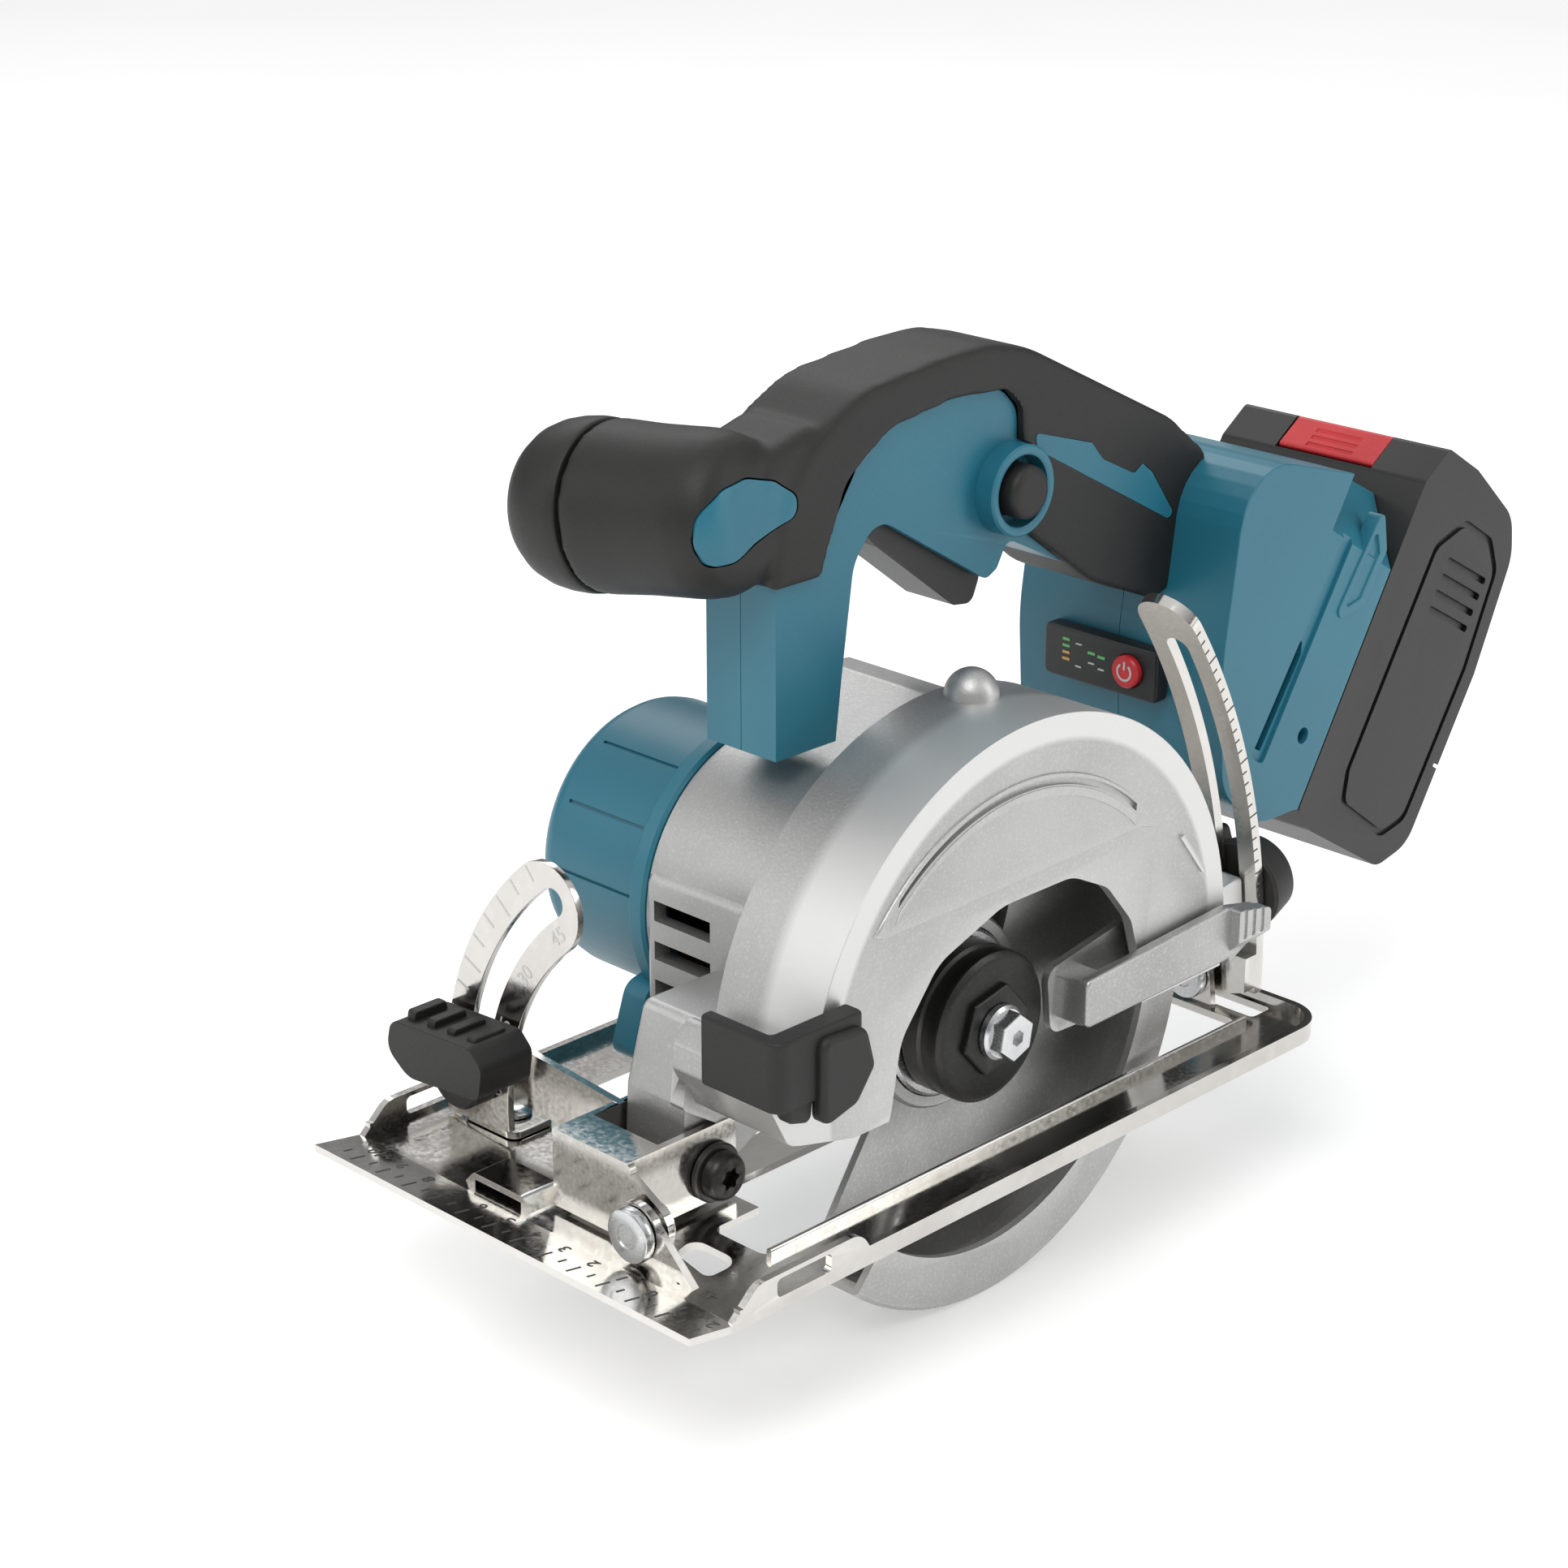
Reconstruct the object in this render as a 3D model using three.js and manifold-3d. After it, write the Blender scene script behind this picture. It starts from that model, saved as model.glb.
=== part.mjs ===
// Cordless circular saw with its battery fitted and no blade on the arbor.
// Millimetres. The saw cuts towards -X, its blade side faces -Y and +Z is up from the sole.
// Sizes are measured from the front left corner of the sole; the last lines move the
// origin to the strip of sole between the blade slot and the motor opening.
import * as THREE from "three";
import { mergeVertices } from "three/addons/utils/BufferGeometryUtils.js";
import Module from "manifold-3d";

const wasm = await Module();
wasm.setup();

// ---- base ----
const originX = 118, originY = 55;
const baseLength = 240, baseWidth = 135, sheet = 2;
const rimHeight = 5, fenceRimHeight = 9.4;
const slotLeft = 17.5, slotRight = 50;
const bevelY = 37, bevelZ = 10, bevelRivetRadius = 3.5;
const scaleRadius = 80, scaleSlotWidth = 7.4, clampAngle = 7;

// ---- depth setting ----
const depthX = 50, depthZ = 12, depthPinRadius = 3;
const guideInner = 184, guideThickness = 3, guideLeft = 21, guideRight = 39;
const depthClampAngle = 7;

// ---- drive ----
const arborX = 124, arborZ = 33;
const motorX = 115, motorZ = 56.5, motorRadius = 37;
const flangeRadius = 20, flangeFace = 20, flangeThickness = 6;
const gearTeeth = 34, pinionTeeth = 7, gearModule = 1.229;
const gearFront = 56, gearBack = 66;
const meshTurn = Math.atan2(motorZ - arborZ, motorX - arborX) / (2 * Math.PI);

// ---- guards ----
const guardX = 131, guardZ = 36, guardRadius = 78, guardFace = 14, guardBack = 47;
const lowerRadius = 74.4, lowerFront = 19.5, lowerBack = 38;

// ---- handle and battery ----
const handleMiddle = 74, handleHalf = 12;
const bulbLeft = 38, bulbRight = 110;
const buttonY = 66, buttonZ = 89.5, buttonRadius = 4.6;
const packX = 273, packZ = 45, packTilt = 31.5;
const gap = 0.3;

const deg = Math.PI / 180;

// ---- finishes ----
const paint = (color, roughness, metalness) =>
  new THREE.MeshStandardMaterial({ color, roughness, metalness });
const teal = paint(0x2d7a8e, 0.5, 0);
const black = paint(0x232321, 0.6, 0);
const rubber = paint(0x2b2a28, 0.8, 0);
const red = paint(0xd8262e, 0.45, 0);
const casting = paint(0xb4b6b6, 0.5, 0.9);
const chrome = paint(0xd0d0cc, 0.2, 1);
const steel = paint(0x8f8f8c, 0.35, 1);
const blackSteel = paint(0x2c2b2a, 0.45, 0.7);
const copper = paint(0xb06a3a, 0.4, 0.8);
const board = paint(0x1e5a34, 0.6, 0);

// ---- helpers: three.js shapes, joined and cut as solids ----
function solid(geometry) {
  const g = geometry.index ? geometry.toNonIndexed() : geometry.clone();
  g.deleteAttribute("normal");
  g.deleteAttribute("uv");
  const merged = mergeVertices(g, 1e-4);
  return new wasm.Manifold(
    new wasm.Mesh({
      numProp: 3,
      vertProperties: merged.attributes.position.array,
      triVerts: new Uint32Array(merged.index.array),
    }),
  );
}

function meshOf(name, body, material) {
  const m = body.getMesh();
  const g = new THREE.BufferGeometry();
  g.setAttribute("position", new THREE.BufferAttribute(m.vertProperties, 3));
  g.setIndex(new THREE.BufferAttribute(m.triVerts, 1));
  g.computeVertexNormals();
  const mesh = new THREE.Mesh(g, material);
  mesh.name = name;
  return mesh;
}

const join = (...bodies) => bodies.reduce((a, b) => a.add(b));
const cut = (body, ...tools) => tools.reduce((a, b) => a.subtract(b), body);

function box(x0, x1, y0, y1, z0, z1) {
  const g = new THREE.BoxGeometry(x1 - x0, y1 - y0, z1 - z0);
  g.translate((x0 + x1) / 2, (y0 + y1) / 2, (z0 + z1) / 2);
  return solid(g);
}

function outline(points) {
  return new THREE.Shape(points.map(([a, b]) => new THREE.Vector2(a, b)));
}

// A flat outline pushed out by depth, its edges rounded by round when that isn't zero.
// grow moves the whole outline outwards, or inwards when it is negative.
function slab(points, depth, round = 0, grow = 0) {
  return new THREE.ExtrudeGeometry(outline(points), {
    depth: depth - 2 * round,
    bevelEnabled: round > 0 || grow !== 0,
    bevelThickness: round > 0 ? round : 0.001,
    bevelSize: round,
    bevelOffset: grow - round,
    bevelSegments: round > 0 ? 2 : 1,
    curveSegments: 6,
  }).translate(0, 0, round);
}

// Outlines in x and z pushed along Y, in y and z pushed along X, and in x and y pushed up.
function alongY(points, y0, y1, round = 0, grow = 0) {
  const g = slab(points, y1 - y0, round, grow);
  g.rotateX(Math.PI / 2);
  return solid(g.translate(0, y1, 0));
}

function alongX(points, x0, x1, round = 0) {
  const g = slab(points, x1 - x0, round);
  const turn = new THREE.Matrix4().makeBasis(
    new THREE.Vector3(0, 1, 0),
    new THREE.Vector3(0, 0, 1),
    new THREE.Vector3(1, 0, 0),
  );
  return solid(g.applyMatrix4(turn).translate(x0, 0, 0));
}

function upwards(points, z0, z1, round = 0) {
  return solid(slab(points, z1 - z0, round).translate(0, 0, z0));
}

function rodY(x, z, r, y0, y1, sides = 32) {
  const g = new THREE.CylinderGeometry(r, r, y1 - y0, sides);
  return solid(g.translate(x, (y0 + y1) / 2, z));
}

function rodX(y, z, r, x0, x1, sides = 24) {
  const g = new THREE.CylinderGeometry(r, r, x1 - x0, sides);
  return solid(g.rotateZ(Math.PI / 2).translate((x0 + x1) / 2, y, z));
}

function rodZ(x, y, r, z0, z1, sides = 24) {
  const g = new THREE.CylinderGeometry(r, r, z1 - z0, sides);
  return solid(g.rotateX(Math.PI / 2).translate(x, y, (z0 + z1) / 2));
}

function hexY(x, z, acrossFlats, y0, y1) {
  return rodY(x, z, acrossFlats / Math.sqrt(3), y0, y1, 6);
}

// Points of an arc about a centre, from one angle to another in degrees.
function arc(cx, cy, r, from, to, steps) {
  const points = [];
  for (let i = 0; i <= steps; i++) {
    const a = (from + ((to - from) * i) / steps) * deg;
    points.push([cx + r * Math.cos(a), cy + r * Math.sin(a)]);
  }
  return points;
}

function band(cx, cy, inner, outer, from, to, steps) {
  const a = arc(cx, cy, outer, from, to, steps);
  return a.concat(arc(cx, cy, inner, to, from, steps));
}

function roundedBox(x0, x1, y0, y1, r) {
  return [
    ...arc(x1 - r, y1 - r, r, 0, 90, 3),
    ...arc(x0 + r, y1 - r, r, 90, 180, 3),
    ...arc(x0 + r, y0 + r, r, 180, 270, 3),
    ...arc(x1 - r, y0 + r, r, 270, 360, 3),
  ];
}

function screwY(name, x, z, headRadius, shankRadius, y0, headEnd, y1) {
  const head = rodY(x, z, headRadius, y0, headEnd, 20);
  const socket = rodY(x, z, headRadius * 0.45, y0 - 1, y0 + 1.6, 6);
  const shank = rodY(x, z, shankRadius, headEnd - 0.5, y1, 16);
  return meshOf(name, join(cut(head, socket), shank), blackSteel);
}

// ---- base plate and its scale ----
function basePlate() {
  const plan = [
    [0, 0], [baseLength - 12, 0],
    ...arc(baseLength - 12, 12, 12, -90, 0, 4).slice(1),
    ...arc(baseLength - 12, baseWidth - 12, 12, 0, 90, 4),
    [0, baseWidth],
  ];
  const wall = [
    [16, 0], [baseLength - 12, 0],
    ...arc(baseLength - 12, 12, 12, -90, 0, 4).slice(1),
    ...arc(baseLength - 12, baseWidth - 12, 12, 0, 90, 4),
    [16, baseWidth],
  ];
  const inside = [
    [12, sheet], [baseLength - 12, sheet],
    ...arc(baseLength - 12, 12, 10, -90, 0, 4).slice(1),
    ...arc(baseLength - 12, baseWidth - 12, 10, 0, 90, 4),
    [12, baseWidth - sheet],
  ];
  let plate = cut(upwards(plan, 0, sheet), box(-1, 14, -1, baseWidth + 1, -1, 3));
  plate = join(
    plate,
    alongY([[0, 2.4], [14.5, 0], [14.5, sheet], [0, 4.4]], 0, baseWidth),
    cut(upwards(wall, 0, rimHeight), upwards(inside, -1, rimHeight + 1)),
  );
  for (const y of [0, baseWidth - sheet]) {
    const rim = alongY([[12, 0.2], [62, 0.2], [58, fenceRimHeight], [20, fenceRimHeight]], y, y + sheet);
    plate = join(plate, rim);
    plate = cut(plate, box(28, 46, y - 1, y + sheet + 1, 3.4, 8.2));
  }
  const rail = box(42, 224, slotLeft - 1.6, slotLeft, 0, 4.4);
  plate = join(plate, rail);
  plate = cut(
    plate,
    upwards(roundedBox(42, 62, slotLeft, 36, 2), -1, 8),
    upwards(roundedBox(58, 224, slotLeft, slotRight, 4), -1, 8),
    upwards(roundedBox(228.8, 237, slotLeft, 41, 1.5), -1, 8),
    upwards(roundedBox(66, 176, 64, 116, 8), -1, 8),
    upwards([[25, 20], [36, 20], [36, 36], [28, 34]], -1, 8),
  );
  const bridge = cut(
    alongX([[72, 1], [76, 5.4], [94, 5.4], [98, 1]], 17, 28),
    alongX([[76.5, -1], [76.5, 3.6], [93.5, 3.6], [93.5, -1]], 16, 29),
  );
  const frontEar = alongX([[17, 1], ...arc(bevelY, bevelZ, 7.6, 150, 0, 6), [46, 1]], 18.5, 20.5);
  const rearEar = alongX([[29, 1], ...arc(bevelY, bevelZ, 7.6, 150, 0, 6), [50, 1]], 225.6, 227.6);
  plate = join(plate, bridge, frontEar, rearEar, box(224, 228.8, 29, 50, 0, sheet));
  return cut(
    plate,
    rodX(bevelY, bevelZ, bevelRivetRadius + 0.2, 10, 40),
    rodX(bevelY, bevelZ, bevelRivetRadius + 0.2, 220, 236),
    rodZ(47, 113, 2.8, -1, 4),
  );
}

function bevelScale() {
  const face = band(bevelY, bevelZ, 68, 92, -4.5, 58, 12);
  const slot = band(bevelY, bevelZ, scaleRadius - scaleSlotWidth / 2, scaleRadius + scaleSlotWidth / 2, 3.4, 54.6, 10);
  const foot = cut(box(38, 53, 104, 124, sheet + gap, 4.2), rodZ(47, 113, 2.8, 0, 8));
  return join(cut(alongX(face, 38, 40), alongX(slot, 36, 42), box(36, 42, 90, 140, -5, sheet + gap)), foot);
}

function rivetX(name, x0, x1, headRadius) {
  const body = join(
    rodX(bevelY, bevelZ, headRadius, x0, x0 + 3),
    rodX(bevelY, bevelZ, bevelRivetRadius, x0 + 2, x1 - 1),
    rodX(bevelY, bevelZ, headRadius - 1.5, x1 - 1.8, x1),
  );
  return meshOf(name, body, steel);
}

// ---- parts that tilt with the saw ----
function frontBracket() {
  const face = [
    ...arc(bevelY, bevelZ, 7, 120, 300, 6),
    [50, 3.4], [70, 3.4], [70, 24], [42, 24],
  ];
  const left = box(22.3, 58, 44, 46, 4, 24);
  const right = box(22.3, 58, 68.4, 70.4, 4, 24);
  const top = box(22.3, 34, 44, 70.4, 22, 24);
  const arm = alongX([[68.4, 9], [118, 12], [124, 15], [124, 25], [118, 28], [68.4, 24]], 42.3, 44.3);
  const y = bevelY + scaleRadius * Math.cos(clampAngle * deg);
  const z = bevelZ + scaleRadius * Math.sin(clampAngle * deg);
  return cut(
    join(alongX(face, 22.3, 24.3), left, right, top, arm),
    rodX(bevelY, bevelZ, bevelRivetRadius + 0.2, 20, 27),
    rodY(depthX, depthZ, depthPinRadius + gap, 40, 74),
    rodX(y, z, 3.2, 36, 50),
  );
}

function bevelClampScrew() {
  const y = bevelY + scaleRadius * Math.cos(clampAngle * deg);
  const z = bevelZ + scaleRadius * Math.sin(clampAngle * deg);
  const nut = rodX(y, z, 6.5, 44.6, 49, 6);
  return join(nut, rodX(y, z, 2.9, 26, 45));
}

function bevelLever() {
  const y = bevelY + scaleRadius * Math.cos(clampAngle * deg);
  const z = bevelZ + scaleRadius * Math.sin(clampAngle * deg);
  const grip = alongX([[102, 13], [128, 11.4], [150, 14], [153, 24], [146, 33], [112, 33], [101, 27]], 20, 34.5, 2);
  let body = join(grip, rodX(y, z, 9.5, 30, 37.7));
  for (let i = 0; i < 3; i++) {
    body = join(body, alongY([[24, 32], [33, 32], [32, 34.8], [25, 34.8]], 118 + 9 * i, 122 + 9 * i));
  }
  return cut(body, rodX(y, z, 3.2, 25, 40));
}

function depthGuide() {
  const strip = band(depthX, depthZ, guideInner, guideInner + guideThickness, -1.8, 38, 16);
  const slot = band(depthX, depthZ, guideInner - 3, guideInner + 6, 2.2, 33.6, 14);
  const foot = alongX([[guideLeft, 8], [31, 4.6], ...arc(bevelY, bevelZ, 7, 240, 360, 5), [44, 18], [guideLeft, 18]], 229.2, 231.4);
  const joined = join(
    alongY(strip, guideLeft, guideRight),
    foot,
    box(230.6, 235, guideLeft, 31.5, 8, 18),
  );
  return cut(
    joined,
    alongY(slot, guideLeft + 5.5, guideRight - 5.5),
    rodX(bevelY, bevelZ, bevelRivetRadius + 0.2, 226, 240),
  );
}

// ---- cast housing with the fixed blade guard ----
function gearHousing() {
  const rim = [
    [46, 30.5], [68, 25], [80, 25], [176, 25], [190, 25],
    ...arc(guardX, guardZ, guardRadius, -8, 172, 30),
    [46, 54], [40, 48], [40, 42],
  ];
  const hollow = [
    [56, 10], [204, 10],
    ...arc(guardX, guardZ, guardRadius - 3, -4, 170, 26),
    [60, 44],
  ];
  const window = [
    [70, -5], [80, 28], [82, 44], [90, 57], [100, 65], [145, 72],
    [158, 66], [168, 52], [175, 34], [178, -5],
  ];
  let body = alongY(rim, guardFace, guardBack, 2.5);
  body = cut(body, alongY(hollow, guardFace + 3, guardBack - 3), alongY(window, guardFace - 1, guardFace + 4));
  const crescent = [
    ...arc(arborX + 2, arborZ + 2, 64, 40, 138, 14),
    [78, 72], [150, 92], [168, 78],
  ];
  const panel = alongY(crescent, guardFace - 0.8, guardFace + 1);
  const caseOutline = [
    ...arc(motorX, motorZ, 41, 98, 252, 16),
    ...arc(arborX, arborZ, 26, -146, 20, 10),
    [158, 60], [156, 92], [148, 107.5], [138, 108.5],
  ];
  const gearCase = alongY(caseOutline, guardBack - 2, 92);
  const ventBlock = box(74, 92, 58, 92, 32, 70);
  const nose = join(
    rodY(depthX, depthZ, 8, 47, 67.6, 24),
    alongY([[43, 14], [57, 8], [92, 26], [92, 50], [50, 50], [44, 30]], 47, 67.6),
  );
  const boss = solid(new THREE.SphereGeometry(7, 16, 10).translate(guardX + 3, guardBack - 9, guardZ + guardRadius));
  const a = depthClampAngle * deg;
  const lug = solid(new THREE.BoxGeometry(26.6, 11, 13).rotateY(-a)
    .translate(depthX + 170.3 * Math.cos(a), 30.5, depthZ + 170.3 * Math.sin(a)));
  body = join(body, panel, gearCase, ventBlock, nose, boss, lug);
  const roomForGears = [
    ...arc(motorX, motorZ, 37, 98, 250, 14),
    ...arc(arborX, arborZ, 23.4, -148, 20, 10),
    [152, 60], [148, 88],
  ];
  body = cut(
    body,
    alongY(roomForGears, 54, 93),
    rodY(arborX, arborZ, 8.6, 30, 60),
    rodY(depthX, depthZ, depthPinRadius + gap, 40, 74),
    screwHole(a),
  );
  for (let i = 0; i < 3; i++) body = cut(body, box(70, 90, 69, 89, 57 - 11 * i, 62 - 11 * i));
  const neck = cut(rodY(arborX, arborZ, 16, 39, 45), rodY(arborX, arborZ, 8.6, 30, 60));
  return join(body, neck);
}

// The clamp screw's hole in the lug, along the line from the depth pivot.
function screwHole(a) {
  const g = new THREE.CylinderGeometry(3.3, 3.3, 30, 16);
  g.rotateZ(Math.PI / 2).rotateY(-a);
  return solid(g.translate(depthX + 180 * Math.cos(a), 30, depthZ + 180 * Math.sin(a)));
}

function radial(geometry, distance) {
  const a = depthClampAngle * deg;
  geometry.rotateZ(Math.PI / 2).rotateY(-a);
  return solid(geometry.translate(depthX + distance * Math.cos(a), 30, depthZ + distance * Math.sin(a)));
}

function depthClampScrew() {
  return join(
    radial(new THREE.CylinderGeometry(3, 3, 33, 16), 184.5),
    radial(new THREE.CylinderGeometry(6, 6, 3, 6), 201.5),
  );
}

function depthLever() {
  const hub = radial(new THREE.CylinderGeometry(11, 13, 11, 24), 193.2);
  const arm = solid(new THREE.BoxGeometry(9, 42, 12).rotateX(-20 * deg)
    .translate(depthX + 193.2 * Math.cos(depthClampAngle * deg), 56, depthZ + 199 * Math.sin(depthClampAngle * deg)));
  return cut(join(hub, arm), radial(new THREE.CylinderGeometry(3.3, 3.3, 40, 16), 190));
}

// ---- moving guard ----
function lowerGuard() {
  const x = arborX, z = arborZ;
  const wall = alongY(band(x, z, lowerRadius - 3, lowerRadius, -131, 16, 22), lowerFront, lowerBack);
  const lip = alongY(band(x, z, 60, lowerRadius - 1, -131, 16, 20), lowerFront, lowerFront + 2);
  const back = [
    ...arc(x, z, lowerRadius - 1, -131, 16, 20),
    [186, 62], [150, 62], ...arc(x, z, 24, 30, 214, 10),
  ];
  const plate = alongY(back, lowerBack - 2, lowerBack);
  const spoke = alongY([[144, 42], [186, 49], [194, 22], [146, 24]], lowerFront, lowerFront + 2.2);
  const bridge = box(148, 158, 11, lowerFront + 1, 28, 40);
  const lever = alongY([[148, 27.8], [205, 28.8], [219, 34], [219, 41], [205, 44], [148, 41]], 9.4, 12.8, 1);
  // the tip's underside slopes, so that it clears the sole when the saw leans over
  const ribbed = alongY([[206, 27.8], [219.6, 34], [219.6, 41], [206, 43.5]], 5, 11, 1)
    .intersect(alongX([[10.6, 27.8], [9.4, 27.8], [9.4, 31.4], [6.4, 34.4], [6.4, 44], [10.6, 44]], 200, 222));
  const hub = rodY(x, z, 26, 34.6, lowerBack, 32);
  const body = join(wall, lip, plate, spoke, bridge, lever, ribbed, hub);
  return cut(body, rodY(x, z, 22.6, 30, 36.8, 32), rodY(x, z, 19.4, 30, 40, 32));
}

function guardHubRing() {
  const ring = rodY(arborX, arborZ, 19, 35.2, 38.7, 32);
  return cut(join(ring, rodY(arborX, arborZ, 22.2, 33.4, 36.4, 32)), rodY(arborX, arborZ, 8.6, 30, 42, 24));
}

// ---- spindle ----
function spindle() {
  const body = join(
    rodY(arborX, arborZ, 6, 26.3, 74, 24),
    rodY(arborX, arborZ, 8, 53.4, 55.7, 24),
  );
  return cut(body, rodY(arborX, arborZ, 4, 20, 36, 20));
}

function flange(y0, y1, hole) {
  const profile = [
    new THREE.Vector2(hole, y0), new THREE.Vector2(flangeRadius - 1, y0),
    new THREE.Vector2(flangeRadius, y0 + 1), new THREE.Vector2(flangeRadius, y1),
    new THREE.Vector2(hole, y1), new THREE.Vector2(hole, y0),
  ];
  const g = new THREE.LatheGeometry(profile, 40);
  return solid(g.translate(arborX, 0, arborZ));
}

function outerFlange() {
  const disc = flange(flangeFace, flangeFace + flangeThickness, 4.1);
  const hex = cut(hexY(arborX, arborZ, 21, flangeFace - 1.8, flangeFace + 1), rodY(arborX, arborZ, 4.1, 10, 30, 20));
  return join(disc, hex);
}

function arborBolt() {
  return cut(
    join(
      hexY(arborX, arborZ, 11, 11.5, 16),
      rodY(arborX, arborZ, 7.2, 15.6, 17.9, 24),
      rodY(arborX, arborZ, 3.7, 17, 34, 16),
    ),
    rodY(arborX, arborZ, 2.2, 10, 13.4, 6),
  );
}

function gearWheel(x, z, teeth, y0, y1, bore, phase) {
  const pitch = (gearModule * teeth) / 2;
  const points = [];
  for (let i = 0; i < teeth; i++) {
    for (const [share, r] of [[0.06, pitch - 1.2], [0.34, pitch + 0.9], [0.56, pitch + 0.9], [0.84, pitch - 1.2]]) {
      const a = ((i + share - 0.45 + phase) / teeth) * 2 * Math.PI;
      points.push([x + r * Math.cos(a), z + r * Math.sin(a)]);
    }
  }
  const wheel = alongY(points, y0, y1);
  return bore > 0 ? cut(wheel, rodY(x, z, bore, y0 - 1, y1 + 1, 24)) : wheel;
}

// ---- motor ----
function motorHousing() {
  const shell = join(
    rodY(motorX, motorZ, 42, 92.3, 98, 48),
    rodY(motorX, motorZ, motorRadius, 96, 136, 48),
    rodY(motorX, motorZ, motorRadius - 4, 135, 141, 40),
    alongY([[68, 18], [84, 14], [100, 24], [92, 40], [74, 36]], 92.3, 100),
  );
  let body = cut(shell, rodY(motorX, motorZ, 33, 90, 134, 40), rodY(motorX, motorZ, 9, 130, 138, 24));
  for (let i = 0; i < 6; i++) {
    const a = i * 60 * deg;
    body = cut(body, rodY(motorX + 22 * Math.cos(a), motorZ + 22 * Math.sin(a), 4, 130, 144, 8));
  }
  return cut(body, rodY(76, 25, 2.2, 90, 102, 12));
}

function stator() {
  let body = cut(rodY(motorX, motorZ, 32.6, 104, 128, 36), rodY(motorX, motorZ, 16.6, 100, 130, 30));
  for (let i = 0; i < 6; i++) {
    const a = (i * 60 + 30) * deg;
    body = cut(body, rodY(motorX + 24 * Math.cos(a), motorZ + 24 * Math.sin(a), 4.2, 100, 130, 10));
  }
  return body;
}

function rotorShaft() {
  const shaft = rodY(motorX, motorZ, 3.4, gearBack + gap, 136, 16);
  return join(shaft, rodY(motorX, motorZ, 16, 105, 127, 28));
}

function fan() {
  let body = cut(rodY(motorX, motorZ, 29, 90, 92, 32), rodY(motorX, motorZ, 3.7, 80, 100, 16));
  body = join(body, cut(rodY(motorX, motorZ, 9, 84, 91, 20), rodY(motorX, motorZ, 3.7, 80, 100, 16)));
  for (let i = 0; i < 9; i++) {
    const blade = new THREE.BoxGeometry(20, 7, 1.6).translate(18, 87.5, 0);
    blade.rotateY((i * 40) * deg);
    body = join(body, solid(blade.translate(motorX, 0, motorZ)));
  }
  return body;
}

function bearing(name, x, z, inner, outer, y0, y1) {
  return meshOf(name, cut(rodY(x, z, outer, y0, y1, 28), rodY(x, z, inner, y0 - 1, y1 + 1, 24)), steel);
}

// ---- handle and battery housing ----
const handleOutline = [
  [90, 101.6], [111, 101.6], [113, 118], [117, 146], [125, 156], [166, 131], [170, 133],
  [174, 140], [206, 124], [233, 113], [246, 118], [252, 146], [236, 158], [206, 173],
  [178, 187], [164, 190.5], [148, 190], [120, 187], [106, 180], [94, 165], [90, 146],
];

const bulbOutline = [
  [273, 45], [322.1, 125.1], [295.5, 136.5], [262, 148], [248, 151], [238, 140],
  [236, 112], [235, 92], [239, 68], [250, 52], [262, 45.6],
];

function handleShells() {
  const outer = join(
    alongY(handleOutline, handleMiddle - handleHalf, handleMiddle + handleHalf, 3),
    alongY(bulbOutline, bulbLeft, bulbRight, 10),
    cut(rodY(173, 154, 12, 56, handleMiddle, 28), rodY(173, 154, 9.4, 50, 63, 24)),
  );
  const gripRoom = [
    [123, 163], [150, 179], [165, 183], [190, 173], [228, 154], [230, 122],
    [206, 130], [182, 142], [168, 142], [163, 137],
  ];
  const bulbRoom = [
    [268, 50], [310.5, 119], [292, 130], [262, 143], [246, 144], [242, 110], [240, 92],
    [243, 72], [253, 56],
  ];
  const triggerRoom = [[121, 158], [127, 145], [160, 121], [174, 126], [171, 146], [131, 167]];
  const hollowed = cut(
    outer,
    alongY(gripRoom, 65, 83),
    alongY(bulbRoom, 49, 99),
    alongY([[226, 152], [250, 142], [250, 120], [226, 124]], 65, 83),
    alongY(triggerRoom, 65, 83),
    box(93.5, 107.5, 65, 83, 100, 160),
    alongY([[93.5, 158], [107.5, 150], [130, 166], [120, 178], [104, 172]], 65, 83),
    rodY(173, 154, 7.4, 50, 80, 24),
    packBox(-6, 2, 20, 84, 50, 98),
    packBox(-30, -10, 8, 13, 30, 46),
    bulbCorner(bulbLeft, 1),
    bulbCorner(bulbRight, -1),
  );
  const middle = handleMiddle;
  return {
    left: hollowed.intersect(box(60, 340, 20, middle - 0.15, 30, 220)),
    right: hollowed.intersect(box(60, 340, middle + 0.15, 130, 30, 220)),
  };
}

// The sloped upper corner of the battery housing's open end; side is 1 on the left.
function bulbCorner(y, side) {
  const points = [[-9, 59.6], [0, 72], [16, 94], [16, 104], [-9, 104]].map(([a, u]) => [y + side * a, u]);
  if (side < 0) points.reverse();
  const g = slab(points, 32).applyMatrix4(new THREE.Matrix4().makeBasis(
    new THREE.Vector3(0, 1, 0), new THREE.Vector3(0, 0, 1), new THREE.Vector3(1, 0, 0),
  ));
  g.translate(-30, 0, 0).rotateY(packTilt * deg);
  return solid(g.translate(packX, 0, packZ));
}

// A box in the battery's own leaning frame: n away from the saw, u up along its rails.
function packBox(n0, n1, u0, u1, y0, y1) {
  const g = new THREE.BoxGeometry(n1 - n0, y1 - y0, u1 - u0);
  g.translate((n0 + n1) / 2, (y0 + y1) / 2, (u0 + u1) / 2);
  g.rotateY(packTilt * deg);
  return solid(g.translate(packX, 0, packZ));
}

function packSlab(points, y0, y1, round) {
  const g = slab(points, y1 - y0, round).rotateX(Math.PI / 2).translate(0, y1, 0);
  g.rotateY(packTilt * deg);
  return solid(g.translate(packX, 0, packZ));
}

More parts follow.
